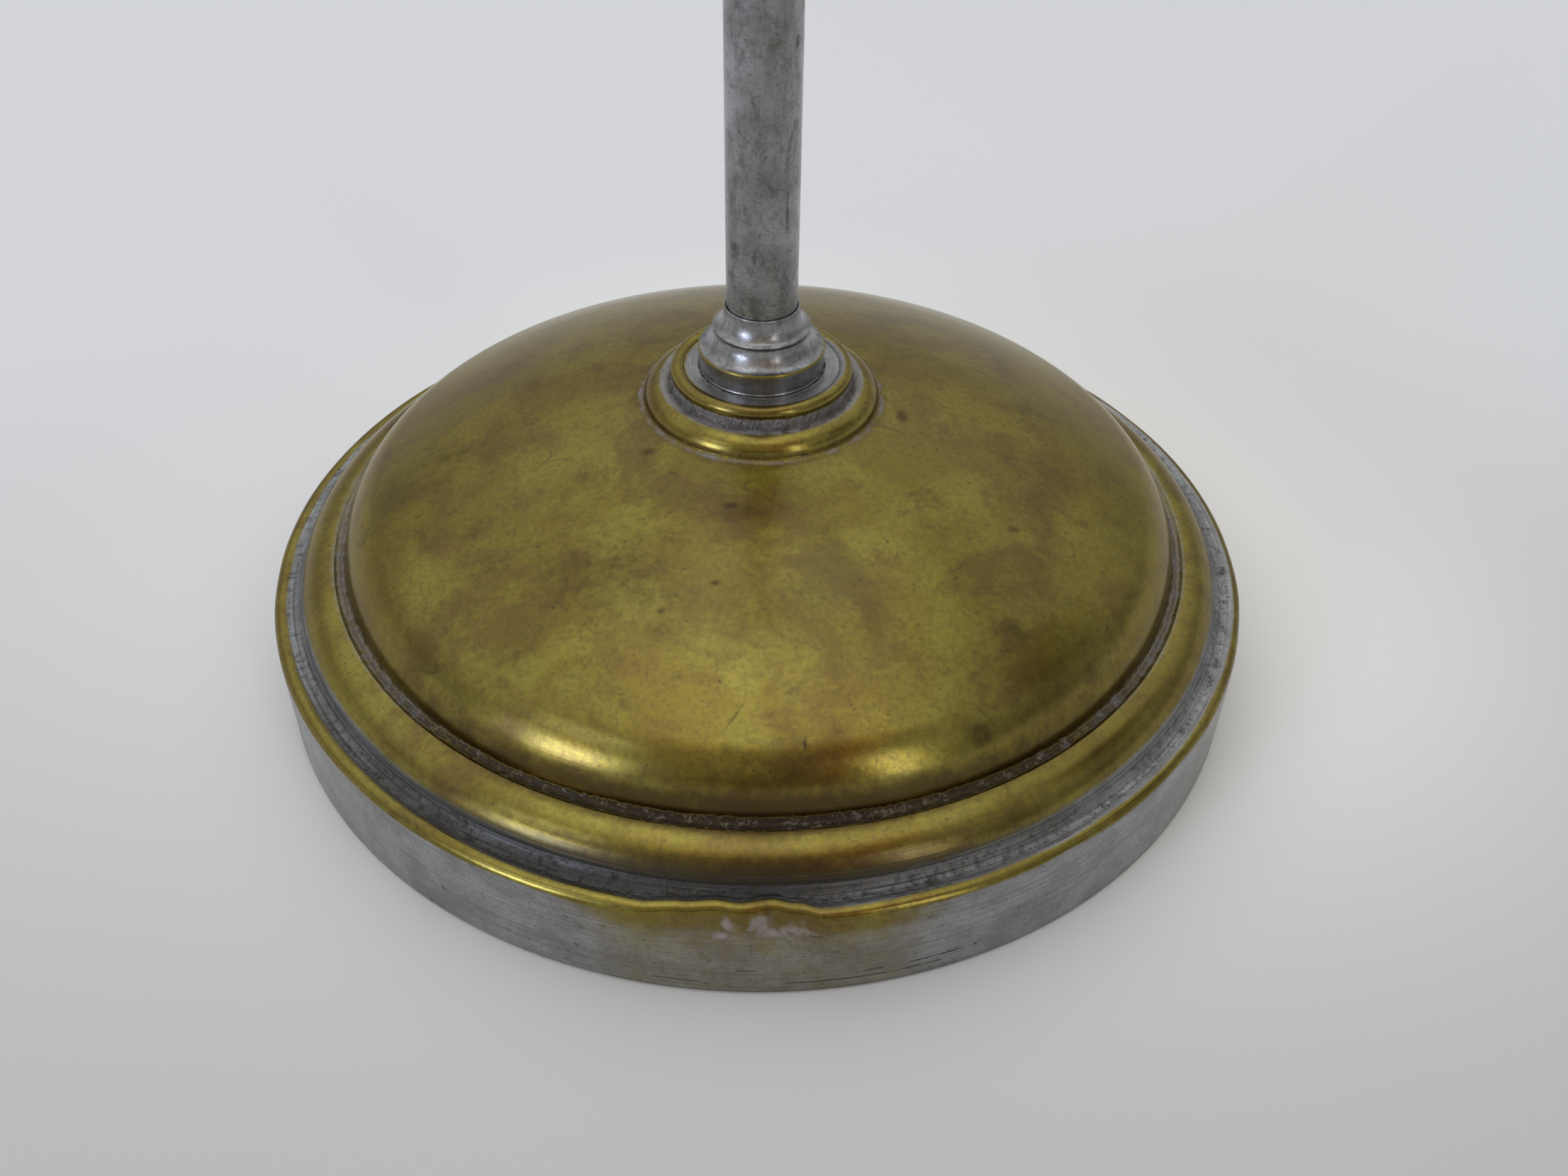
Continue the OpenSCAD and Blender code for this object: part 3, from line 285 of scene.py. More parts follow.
class Graph:
    """The nodes of a material or a world, written as expressions."""

    def __init__(self, owner):
        self.owner = owner
        owner.use_nodes = True
        self.tree = owner.node_tree
        self.tree.nodes.clear()

    def node(self, kind, **settings):
        made = self.tree.nodes.new(kind)
        for key, value in settings.items():
            setattr(made, key, value)
        return made

    def put(self, socket, value):
        if isinstance(value, bpy.types.NodeSocket):
            self.tree.links.new(value, socket)
        else:
            socket.default_value = value

    def coords(self, kind):
        return self.node("ShaderNodeTexCoord").outputs[kind]

    def parts(self, vector):
        """x, y and z of a vector."""
        made = self.node("ShaderNodeSeparateXYZ")
        self.put(made.inputs[0], vector)
        return made.outputs

    def attribute(self, name, output="Fac"):
        return self.node("ShaderNodeAttribute", attribute_name=name).outputs[output]

    def math(self, operation, a, b=0.0, clamp=False):
        made = self.node("ShaderNodeMath", operation=operation, use_clamp=clamp)
        self.put(made.inputs[0], a)
        self.put(made.inputs[1], b)
        return made.outputs[0]

    def chain(self, operation, first, *others):
        """One operation over several numbers."""
        for other in others:
            first = self.math(operation, first, other)
        return first

    def scaled(self, vector, factors):
        made = self.node("ShaderNodeVectorMath", operation="MULTIPLY")
        self.put(made.inputs[0], vector)
        self.put(made.inputs[1], factors)
        return made.outputs[0]

    def noise(self, vector, scale, detail=4.0, roughness=0.55, distortion=0.0):
        made = self.node("ShaderNodeTexNoise")
        self.put(made.inputs["Vector"], vector)
        made.inputs["Scale"].default_value = scale
        made.inputs["Detail"].default_value = detail
        made.inputs["Roughness"].default_value = roughness
        made.inputs["Distortion"].default_value = distortion
        return made.outputs["Fac"]

    def about_zero(self, value):
        """A noise moved down, so that it lies on both sides of 0."""
        return self.math("SUBTRACT", value, 0.5)

    def span(self, value, low, high, out_low=0.0, out_high=1.0):
        """Maps low..high to out_low..out_high with soft ends."""
        made = self.node("ShaderNodeMapRange", interpolation_type="SMOOTHSTEP")
        self.put(made.inputs["Value"], value)
        made.inputs["From Min"].default_value = low
        made.inputs["From Max"].default_value = high
        made.inputs["To Min"].default_value = out_low
        made.inputs["To Max"].default_value = out_high
        return made.outputs["Result"]

    def uneven(self, vector, scale, low, high):
        """A number that wanders between low and high."""
        return self.span(self.noise(vector, scale, 4, 0.6), 0.3, 0.7, low, high)

    def mix(self, factor, a, b):
        made = self.node("ShaderNodeMix", data_type="RGBA")
        self.put(made.inputs["Factor"], factor)
        self.put(made.inputs["A"], colour(a))
        self.put(made.inputs["B"], colour(b))
        return made.outputs["Result"]

    def blend(self, factor, a, b):
        """Mixes two numbers."""
        made = self.node("ShaderNodeMix", data_type="FLOAT")
        self.put(made.inputs["Factor"], factor)
        self.put(made.inputs["A"], a)
        self.put(made.inputs["B"], b)
        return made.outputs["Result"]

    def share(self, factor, most):
        """A mask at part of its strength."""
        return self.math("MULTIPLY", factor, most)

    def over(self, tone, mask, most, paint):
        """A colour laid over another where a mask says, at part of the mask's strength."""
        return self.mix(self.share(mask, most), tone, paint)

    def clouds(self, vector, scale, ends, a, b, detail=4, roughness=0.6):
        """Two colours in clouds: a below the first end of a noise's values, b above the second."""
        return self.mix(self.span(self.noise(vector, scale, detail, roughness), *ends), a, b)

    def bump(self, height, distance, strength=1.0, normal=None):
        made = self.node("ShaderNodeBump")
        made.inputs["Strength"].default_value = strength
        made.inputs["Distance"].default_value = distance
        self.put(made.inputs["Height"], height)
        if normal:
            self.put(made.inputs["Normal"], normal)
        return made.outputs["Normal"]

    def surface(self, **sockets):
        """Finishes the material with one principled shader."""
        shader = self.node("ShaderNodeBsdfPrincipled")
        for name, value in sockets.items():
            socket = shader.inputs[name.replace("_", " ")]
            self.put(socket, colour(value) if socket.type == "RGBA" else value)
        output = self.node("ShaderNodeOutputMaterial")
        self.put(output.inputs["Surface"], shader.outputs[0])
        return self.owner


def new_material(name):
    """An empty material's graph, and the coordinates of its piece."""
    g = Graph(bpy.data.materials.new(name))
    return g, g.coords("Object")


# Colours, linear
BRASS_LIGHT = (0.255, 0.205, 0.024)
BRASS_MID = (0.197, 0.144, 0.011)
BRASS_BROWN = (0.132, 0.08, 0.008)
BRASS_RED = (0.15, 0.077, 0.016)
BRASS_EDGE = (0.52, 0.44, 0.2)
BRASS_DARK = (0.052, 0.033, 0.008)
# The stain tone is brown tarnish, and on the base's front also painted shade and painted reflection.
STAIN_AND_SHADE = (0.062, 0.035, 0.012)
NICKEL_PALE = (0.36, 0.365, 0.375)
NICKEL_MID = (0.26, 0.258, 0.258)
NICKEL_WARM = (0.19, 0.178, 0.158)
NICKEL_DARK = (0.075, 0.071, 0.072)
# The soot tone is dark dirt and, towards the front of the base, painted shade.
SOOT_AND_SHADE = (0.038, 0.036, 0.032)
# The crust tone also paints the dark shadow lines by the collar.
CRUST = (0.021, 0.015, 0.01)
CRUST_FLECK = (0.21, 0.175, 0.135)
SCUFF = (0.275, 0.24, 0.238)
WHITE = (1.0, 1.0, 1.0)
IRON_DARK = (0.03, 0.03, 0.03)
IRON_BROWN = (0.08, 0.07, 0.06)
FELT_DARK = (0.02, 0.04, 0.025)
FELT_PALE = (0.05, 0.085, 0.055)
FIBRE_DARK = (0.13, 0.05, 0.03)
FIBRE_PALE = (0.24, 0.1, 0.06)
MOULDING_DARK = (0.012, 0.01, 0.009)
MOULDING_BROWN = (0.03, 0.022, 0.016)
MOULDING_RUBBED = (0.09, 0.065, 0.045)
PORCELAIN_DULL = (0.72, 0.7, 0.64)
PORCELAIN_WHITE = (0.8, 0.79, 0.75)
ENAMEL_YELLOW = (0.74, 0.71, 0.62)
ENAMEL_WHITE = (0.82, 0.81, 0.76)
ENAMEL_SPECK = (0.2, 0.16, 0.11)
STEEL_DULL = (0.35, 0.34, 0.33)
STEEL_BRIGHT = (0.5, 0.49, 0.48)
GLASS = (0.97, 0.96, 0.93)


def brass_colour(g, coords):
    """Spun brass with olive and brown clouds, fine grain, dark specks and hairline scratches."""
    cloud = g.noise(coords, 70, 6, 0.62, 0.4)
    tone = g.mix(g.span(cloud, 0.38, 0.62), BRASS_MID, BRASS_LIGHT)
    brown = g.span(g.noise(coords, 46, 8, 0.72, 0.6), 0.48, 0.63)
    tone = g.over(tone, brown, 0.7, BRASS_BROWN)
    patches = g.span(g.noise(g.scaled(coords, (1.0, -1.0, 1.0)), 130, 7, 0.74, 0.3), 0.52, 0.64)
    tone = g.over(tone, patches, 0.5, BRASS_BROWN)
    red = g.span(g.noise(g.scaled(coords, (1.0, 1.0, -1.0)), 85, 5, 0.6, 0.3), 0.56, 0.74)
    tone = g.over(tone, red, 0.55, BRASS_RED)
    smudge = g.span(g.noise(coords, 210, 5, 0.68), 0.6, 0.78)
    tone = g.over(tone, smudge, 0.5, BRASS_DARK)
    grain = g.span(g.noise(coords, 1300, 3, 0.65), 0.4, 0.7)
    tone = g.over(tone, grain, 0.32, BRASS_DARK)
    specks = g.span(g.noise(coords, 900, 2, 0.5), 0.69, 0.76)
    tone = g.over(tone, specks, 0.6, BRASS_DARK)
    wavy = g.noise(g.scaled(coords, (1.0, 2.5, 1.0)), 24, 2, 0.5, 1.2)
    hairs = g.span(g.math("ABSOLUTE", g.about_zero(wavy)), 0.0, 0.005, 1.0, 0.0)
    sparse = g.span(g.noise(coords, 52, 2, 0.5), 0.52, 0.6)
    return g.over(tone, g.math("MULTIPLY", hairs, sparse), 0.4, BRASS_DARK)


def nickel_colour(g, coords, streaks):
    """Dull nickel plate with warm clouds, streaks and a few dark pits."""
    tone = g.clouds(coords, 170, (0.35, 0.65), NICKEL_MID, NICKEL_PALE, detail=5, roughness=0.65)
    tone = g.over(tone, g.span(streaks, 0.46, 0.66), 0.6, NICKEL_WARM)
    grain = g.span(g.noise(coords, 1700, 3, 0.65), 0.48, 0.72)
    tone = g.over(tone, grain, 0.36, NICKEL_DARK)
    pits = g.span(g.noise(coords, 800, 3, 0.55), 0.66, 0.73)
    return g.over(tone, pits, 0.6, NICKEL_DARK)


def spun_lines(g, around, along):
    """Fine lines that run round a turned piece."""
    return g.noise(g.scaled(g.attribute("turned", "Vector"), (around, around, along)), 1.0, 3, 0.6)


def ragged_mask(g, name, ragged, amount, low, high):
    """A vertex value whose edge is broken up by noise. It stays 0 where the value is 0."""
    value = g.attribute(name)
    broken = g.span(g.math("ADD", value, g.share(ragged, amount)), low, high)
    return g.math("MULTIPLY", broken, g.span(value, 0.0, 0.15))


def worn_plate(name):
    """Brass with nickel left where the vertex value "plate" says.

    The soot value darkens it with a dull film, dirt that is also painted shade towards the front. The
    grime value puts crusted dirt on it and a painted shadow round the collar, the stain value brown
    tarnish with painted shade and painted reflection, the scuff value pale bruises and the mark value
    dark scratches.
    The shine value is where hands keep the brass polished.
    """
    g, coords = new_material(name)
    ragged = g.about_zero(g.noise(coords, 480, 5, 0.65))
    speckle = g.about_zero(g.noise(coords, 950, 4, 0.65))
    lines = spun_lines(g, 2.6, 4.0)
    plate = ragged_mask(g, "plate", ragged, 0.5, 0.12, 0.88)
    soot_and_shade = ragged_mask(g, "soot_and_shade", g.about_zero(lines), 0.9, 0.05, 0.95)
    crust_and_shade = ragged_mask(g, "grime_and_shade", g.math("ADD", speckle, g.share(ragged, 0.6)), 1.5, 0.25, 0.85)
    stain_and_shade = ragged_mask(g, "stain_and_shade", ragged, 1.0, 0.15, 0.95)
    scuff = ragged_mask(g, "scuff", g.math("ADD", speckle, ragged), 1.3, 0.15, 1.05)
    mark = ragged_mask(g, "mark", ragged, 1.0, 0.35, 0.7)
    brass = g.over(brass_colour(g, coords), stain_and_shade, 0.8, STAIN_AND_SHADE)
    metal = g.mix(plate, brass, nickel_colour(g, coords, lines))
    metal = g.over(metal, soot_and_shade, 0.92, SOOT_AND_SHADE)
    fleck = g.span(g.noise(coords, 1100, 5, 0.7, 0.8), 0.52, 0.64)
    metal = g.over(metal, crust_and_shade, 0.85, g.over(CRUST, fleck, 0.65, CRUST_FLECK))
    metal = g.over(metal, scuff, 0.8, SCUFF)
    metal = g.over(metal, mark, 0.75, CRUST)
    dull = g.chain("MAXIMUM", g.share(crust_and_shade, 0.85), g.share(scuff, 0.8), g.share(mark, 0.6))
    gloss = g.blend(g.attribute("shine"), g.uneven(coords, 90, 0.4, 0.48), 0.2)
    rough = g.blend(dull, g.blend(soot_and_shade, g.blend(plate, gloss, 0.36), 0.5), 0.75)
    covered = g.chain("MAXIMUM", plate, soot_and_shade, dull, g.share(stain_and_shade, 0.5))
    bare = g.math("SUBTRACT", 1.0, covered, clamp=True)
    fine = g.bump(spun_lines(g, 1.2, 14.0), 0.02 * MM, 0.45)
    fine = g.bump(g.noise(coords, 1500, 3, 0.6), 0.015 * MM, 0.4, fine)
    fine = g.bump(g.math("MULTIPLY", crust_and_shade, g.noise(coords, 900, 4, 0.65)), 0.35 * MM, 0.8, fine)
    return g.surface(
        Base_Color=metal,
        Metallic=g.math("SUBTRACT", 1.0, g.math("MAXIMUM", dull, g.share(plate, 0.12))),
        Roughness=rough,
        Specular_IOR_Level=0.2,
        Specular_Tint=g.mix(bare, WHITE, BRASS_EDGE),
        Coat_Weight=g.share(bare, 0.62),
        Coat_Roughness=0.2,
        Normal=fine,
    )


def plain_nickel(name):
    """Dull nickel plate, worn to brass where the vertex value "worn" says.

    The grime value puts dirt on it, and on the collar paints shadow lines; the shine value makes its
    roughness even.
    """
    g, coords = new_material(name)
    ragged = g.about_zero(g.noise(coords, 500, 5, 0.65))
    streaks = g.noise(g.scaled(coords, (1.0, 1.0, 0.16)), 330, 4, 0.6, 0.3)
    lines = spun_lines(g, 3.0, 9.0)
    worn = ragged_mask(g, "worn", ragged, 0.9, 0.35, 0.7)
    crust_and_shade = ragged_mask(g, "grime_and_shade", ragged, 1.1, 0.4, 0.8)
    mottle = g.span(g.noise(g.scaled(coords, (1.0, 1.0, 0.6)), 430, 7, 0.78, 0.5), 0.48, 0.64)
    metal = g.over(nickel_colour(g, coords, streaks), mottle, 0.5, NICKEL_DARK)
    metal = g.over(metal, worn, 0.9, BRASS_MID)
    metal = g.over(metal, crust_and_shade, 0.85, CRUST)
    metal = g.over(metal, g.span(lines, 0.52, 0.7), 0.3, NICKEL_DARK)
    rough = g.blend(g.attribute("shine"), g.uneven(coords, 160, 0.18, 0.32), 0.24)
    fine = g.bump(g.noise(coords, 1100, 3, 0.6), 0.05 * MM, 0.6)
    fine = g.bump(lines, 0.03 * MM, 0.5, fine)
    clean = g.math("SUBTRACT", 0.9, g.share(crust_and_shade, 0.7))
    return g.surface(Base_Color=metal, Metallic=clean, Roughness=rough, Normal=fine)


def plain_brass(name):
    """Dull brass for screws, nuts and turned fittings."""
    g, coords = new_material(name)
    fine = g.bump(g.noise(coords, 1500, 3, 0.6), 0.02 * MM, 0.5)
    rough = g.uneven(coords, 200, 0.26, 0.42)
    return g.surface(Base_Color=brass_colour(g, coords), Metallic=1.0, Roughness=rough, Normal=fine)


def cast_iron(name):
    g, coords = new_material(name)
    tone = g.clouds(coords, 260, (0.35, 0.65), IRON_DARK, IRON_BROWN, detail=5)
    grain = g.bump(g.noise(coords, 700, 4, 0.6), 0.3 * MM, 0.7)
    return g.surface(Base_Color=tone, Metallic=0.6, Roughness=0.7, Normal=grain)


def felt(name):
    g, coords = new_material(name)
    tone = g.clouds(coords, 1800, (0.3, 0.7), FELT_DARK, FELT_PALE, roughness=0.7)
    nap = g.bump(g.noise(coords, 2500, 3, 0.7), 0.3 * MM, 0.8)
    return g.surface(Base_Color=tone, Roughness=0.95, Sheen_Weight=0.3, Normal=nap)


def fibre(name):
    g, coords = new_material(name)
    tone = g.clouds(coords, 900, (0.3, 0.7), FIBRE_DARK, FIBRE_PALE)
    return g.surface(Base_Color=tone, Roughness=0.7)


def moulding(name):
    """Black moulded insulation with a low gloss, rubbed paler along its edges."""
    g, coords = new_material(name)
    tone = g.clouds(coords, 150, (0.35, 0.7), MOULDING_DARK, MOULDING_BROWN)
    tone = g.over(tone, g.attribute("worn"), 0.6, MOULDING_RUBBED)
    rough = g.uneven(coords, 350, 0.28, 0.45)
    fine = g.bump(g.noise(coords, 1600, 3, 0.6), 0.02 * MM, 0.4)
    return g.surface(Base_Color=tone, Roughness=rough, Normal=fine)


def porcelain(name):
    g, coords = new_material(name)
    tone = g.clouds(coords, 200, (0.35, 0.65), PORCELAIN_DULL, PORCELAIN_WHITE)
    return g.surface(Base_Color=tone, Roughness=0.18)


def enamel(name):
    """White stove enamel inside the shade, a little yellowed and speckled."""
    g, coords = new_material(name)
    tone = g.clouds(coords, 40, (0.35, 0.65), ENAMEL_YELLOW, ENAMEL_WHITE, detail=5)
    specks = g.span(g.noise(coords, 700, 2, 0.5), 0.7, 0.76)
    tone = g.over(tone, specks, 0.5, ENAMEL_SPECK)
    ripple = g.bump(g.noise(coords, 180, 3, 0.5), 0.05 * MM, 0.4)
    return g.surface(Base_Color=tone, Roughness=0.3, Normal=ripple)


def steel(name):
    g, coords = new_material(name)
    tone = g.clouds(coords, 300, (0.35, 0.65), STEEL_DULL, STEEL_BRIGHT)
    return g.surface(Base_Color=tone, Metallic=1.0, Roughness=g.uneven(coords, 500, 0.3, 0.45))


def clear_glass(name):
    g, coords = new_material(name)
    ripple = g.bump(g.noise(coords, 60, 2, 0.5), 0.05 * MM, 0.3)
    return g.surface(
        Base_Color=GLASS,
        Roughness=0.02,
        IOR=1.5,
        Transmission_Weight=1.0,
        Normal=ripple,
    )


MATERIALS = {
    "worn_brass": worn_plate("worn_plate"),
    "nickel": plain_nickel("nickel_plate"),
    "brass": plain_brass("dull_brass"),
    "cast_iron": cast_iron("iron_casting"),
    "steel": steel("plain_steel"),
    "felt": felt("green_felt"),
    "fibre": fibre("red_fibre"),
    "black_plastic": moulding("black_moulding"),
    "porcelain": porcelain("porcelain_glaze"),
    "glass": clear_glass("bulb_clear"),
}
SLOT_OF = {s["node"]: s["material_slot"] for s in frame["record"]["subparts"]}
BODY_OF = {n: body for body, members in frame["record"]["behaviour"]["bodies"].items() for n in members}
JOINT_AT = {j["name"]: Vector(j["pos_m"]) for j in frame["joints"]}


def dress(obj, slot):
    obj.data.materials.clear()
    obj.data.materials.append(MATERIALS[slot])


def stand_in(obj, node):
    """A modelled piece takes the place, body and slot of a solid."""
    dress(obj, SLOT_OF[node])
    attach(obj, BODY_OF[node])
    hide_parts(node)
    return obj


for name, solid in nodes.items():
    dress(solid, SLOT_OF[name])


# Base shell: outline
def crown_at(r):
    return CROWN_C + math.sqrt(CROWN_R**2 - r**2)


def crown_angle(r, radius):
    return math.degrees(math.acos(r / radius))


def direction(way):
    return math.degrees(math.atan2(way.y, way.x))


def touching(a, a_radius, b, b_radius, radius):
    """Centre of the circle of a radius that lies on two other circles from above."""
    a_reach = a_radius + radius
    b_reach = b_radius + radius
    apart = b - a
    along = (a_reach**2 - b_reach**2 + apart.length_squared) / (2 * apart.length)
    up = math.sqrt(a_reach**2 - along**2)
    return a + apart.normalized() * along + apart.normalized().orthogonal() * up


def hollow(start, deep, end):
    """Points between start and end along a curve that sags towards deep, as dirt fills a groove."""
    return [sag(start, deep, end, i / 8) for i in range(1, 8)]


def base_outline():
    """The shell's closed outline: outside from the rim's foot to the stem, then inside back down."""
    edge = Vector((BASE_R - RIM_EDGE_R, RIM_H - RIM_EDGE_R))
    ring = Vector((RING_C, BAND_Z))
    cove = touching(ring, RING_R, edge, RIM_EDGE_R, COVE_R)
    edge_end = direction(cove - edge)
    ring_start = direction(cove - ring)
    shoulder = arc((SHOULDER_C, GROOVE_Z), SHOULDER_R, DIRT_END_A, CROWN_A, 0.4)
    outside = [(BASE_R, FOOT_Z)]
    outside += arc(edge, RIM_EDGE_R, 0, edge_end, 0.2)
    outside += arc(cove, COVE_R, 180 + edge_end, 180 + ring_start, 0.2)
    outside += arc(ring, RING_R, ring_start, 90, 0.3)
    outside += hollow(outside[-1], (DOME_R + 0.15, GROOVE_Z + GROOVE_FILL), shoulder[0])
    outside += shoulder
    outside += arc((0, CROWN_C), CROWN_R, CROWN_A, crown_angle(RIDGE_END, CROWN_R), 0.5)
    outside += arc((RIDGE_AT, crown_at(RIDGE_END)), RIDGE_R, 0, 120, 0.2)
    outside += arc((BEAD_AT, SEAT_Z - BEAD_R / 2), BEAD_R, -30, 150, 0.15)
    outside += [(STEM_HOLE_R, SEAT_Z)]
    inner_crown = CROWN_R - SHEET_T
    inside = [(STEM_HOLE_R, SEAT_Z - SHEET_T), (BEAD_AT - BEAD_R, SEAT_Z - SHEET_T)]
    inside += arc((0, CROWN_C), inner_crown, crown_angle(RIDGE_AT, inner_crown), CROWN_A, 3)
    inside += arc((SHOULDER_C, GROOVE_Z), SHOULDER_R - SHEET_T, CROWN_A, 0, 2)
    inside += [
        (DOME_R - SHEET_T, GROOVE_Z - SHEET_T),
        (RING_C + RING_R / 2, GROOVE_Z - SHEET_T),
        (RING_END - SHEET_T, BAND_Z - SHEET_T),
        (BASE_R - SHEET_T, BAND_Z - SHEET_T),
        (BASE_R - SHEET_T, FOOT_Z),
    ]
    return divide(soften(outside, 0.35), 0.3) + divide(inside, 4)


# The dent in the rim's front edge: place along the rim from the front, right positive, and depth
DENT = ((-15.5, 0.0), (-10.0, 0.7), (-5.2, 1.25), (-2.2, 1.0), (1.6, 1.5), (5.0, 0.85), (8.2, 0.0))
DENT_UP = 0.2
# Bruises under the dent: place along the rim, height, half width, half height
SCUFFS = (
    (-3.9, 12.9, 1.1, 1.3),
    (-4.6, 11.3, 1.6, 0.9),
    (0.3, 12.8, 1.9, 1.4),
    (1.9, 11.6, 1.3, 0.8),
    (4.6, 12.0, 1.9, 1.4),
)
SCUFF_REACH = 10
# Dark scratches on the rim's side: start and end along the rim, height, half thickness
MARKS = (
    (6.6, 7.8, 11.6, 0.22),
    (4.0, 24.0, 2.3, 0.2),
    (-13.0, -6.5, 2.2, 0.16),
    (-2.3, -0.2, 4.9, 0.16),
    (12.0, 30.0, 3.4, 0.13),
)
# Brown stains on the dome, and a few blots of painted reflection, in plan: x, y, half width, half depth,
# strength
STAINS_AND_PAINTED_REFLECTION = (
    (-1.8, -27.0, 5.0, 2.8, 0.6),
    (-3.9, -25.9, 1.5, 0.7, 1.0),
    (-46.6, -5.9, 4.5, 2.6, 0.6),
    (-39.6, -23.8, 3.8, 2.4, 0.55),
    (-36.8, -31.7, 5.5, 3.0, 0.4),
    (-43.5, -38.0, 10.0, 8.0, 0.36),
    (-21.0, -36.0, 14.0, 10.0, 0.55),
    (-13.2, -44.7, 3.0, 2.6, 0.55),
    (-13.0, -42.0, 0.8, 0.6, 0.9),
    (-5.9, -38.3, 0.8, 0.5, 1.0),
    (33.1, -41.2, 4.8, 3.2, 0.65),
    (38.4, -47.1, 5.5, 4.5, 0.5),
    (23.7, -22.1, 4.4, 2.6, 0.5),
    (20.8, -5.0, 1.0, 1.8, 1.0),
    (2.7, -61.5, 14.0, 4.0, 0.55),
    (9.4, -59.5, 3.0, 4.0, 0.5),
    (28.6, -54.9, 2.8, 2.0, 0.6),
    (-23.7, -18.0, 5.5, 3.0, 0.4),
    (35.5, -24.4, 1.2, 0.8, 0.8),
    (45.9, -19.2, 3.0, 2.0, 0.4),
    # Painted reflection: these two blots darken the lower right of the shoulder, where the shade is
    # mirrored; the next one only darkens the left front.
    (46.7, -42.0, 8.0, 6.0, 0.45),
    (30.3, -49.0, 7.0, 5.0, 0.35),
    (-34.2, -47.6, 8.0, 6.0, 0.35),
    (-16.1, -14.6, 1.3, 0.9, 0.9),
)
# Scratches on the dome, in plan: x and y of both ends, half thickness, strength
SCRATCHES = (
    (-4.6, -57.9, -1.9, -54.4, 0.3, 0.46),
    (5.9, -58.2, 5.7, -59.6, 0.4, 0.5),
    (-20.5, -57.0, -5.0, -59.6, 0.14, 0.4),
)
SCRATCHES_FROM = 40
# Places on the shell, as radii and heights
RING_FACE = RING_C + 1
RIM_SIDE = BASE_R - 0.6
RIM_TOP = RIM_H - 0.8
GROOVE_AT = (DOME_R + 0.45, GROOVE_Z + 0.85)
RECESS_TOP = SEAT_Z - BEAD_R


# Base shell: places and wear
def rim_distance(angle):
    """Distance along the rim from its front point."""
    return BASE_R * math.remainder(angle - FRONT, 2 * math.pi)


def on_rim(r):
    return r > RING_END


def on_dome(r, z):
    return r < DOME_R + 0.1 and z > GROOVE_Z - 0.1


def recess_at(r, z):
    """1 in the dip between the ridge and the bead round the seat."""
    return (1 - smooth_step(14.6, 15.7, r)) * (1 - smooth_step(RECESS_TOP - 0.2, RECESS_TOP + 0.4, z))


def in_groove(r, z, near, far):
    """1 by the groove, falling to 0 between two distances from it."""
    return 1 - smooth_step(near, far, math.dist((r, z), GROOVE_AT))


def ring_foot(r, z, low, high):
    """1 at the foot of the ring's outer face, falling to 0 between two angles up it, in degrees."""
    if r <= RING_FACE:
        return 0.0
    return 1 - smooth_step(low, high, math.degrees(math.atan2(z - BAND_Z, r - RING_C)))


def in_cove(r, z, start, end):
    """1 in the hollow beside the ring, falling to 0 between two radii on the rim's top."""
    return 1 - smooth_step(start, end, r) if z > RIM_TOP else 0.0


def dent_depth(s):
    """How far the dent goes in at a distance along the rim."""
    for (low, low_in), (high, high_in) in zip(DENT, DENT[1:]):
        if low <= s < high:
            return low_in + (high_in - low_in) * smooth_step(low, high, s)
    return 0.0


def scuff_at(r, z, angle):
    """Pale bruises on the rim's side, and pale crust in the recess, the groove and by the ridge."""
    flank = abs(math.cos(angle))
    if r < RIDGE_END + 4 and z > GROOVE_Z:
        beyond = r - RIDGE_END
        foot = smooth_step(-0.02, 0.12, beyond) * (1 - smooth_step(0.5, 1.2, beyond))
        patchy = 0.8 + 0.6 * noise.noise(Vector((*plan(r, angle), 2.6)) * 0.35)
        return max(0.5 * recess_at(r, z), foot * (0.45 + 0.25 * flank) * patchy, 0.0)
    if r < RIM_SIDE:
        return 0.5 * smooth_step(0.4, 0.95, flank) * in_groove(r, z, 0.4, 1.5)
    s = rim_distance(angle)
    if abs(s) > SCUFF_REACH:
        return 0.0
    warp_s = noise.noise(Vector((s * 0.7, z * 0.7, 4.2)))
    warp_z = noise.noise(Vector((s * 0.7, z * 0.7, 9.4)))
    near = max(spot((s + warp_s - x) / w, (z + warp_z - h) / t) for x, h, w, t in SCUFFS)
    return near * (1.0 + 0.5 * noise.noise(Vector((s * 1.4, z * 1.4, 8.6))))


def scratch_at(x, y):
    """How much of a scratch lies at a point of the dome, in plan."""
    most = 0.0
    for x0, y0, x1, y1, t, strength in SCRATCHES:
        along = ((x - x0) * (x1 - x0) + (y - y0) * (y1 - y0)) / math.dist((x0, y0), (x1, y1)) ** 2
        along = min(1.0, max(0.0, along))
        off = math.dist((x, y), (x0 + (x1 - x0) * along, y0 + (y1 - y0) * along))
        most = max(most, strength * spot(off / t))
    return most


def mark_at(r, z, angle):
    """Dark scratches on the dome and on the rim's side."""
    if on_dome(r, z):
        return scratch_at(*plan(r, angle)) if r > SCRATCHES_FROM else 0.0
    if r < RIM_SIDE:
        return 0.0
    s = rim_distance(angle)
    wander = 0.3 * noise.noise(Vector((s * 0.25, 5.1, 0.0)))
    return max(window(a, b, 1.0, s) * spot((z + wander - h) / t) for a, b, h, t in MARKS)


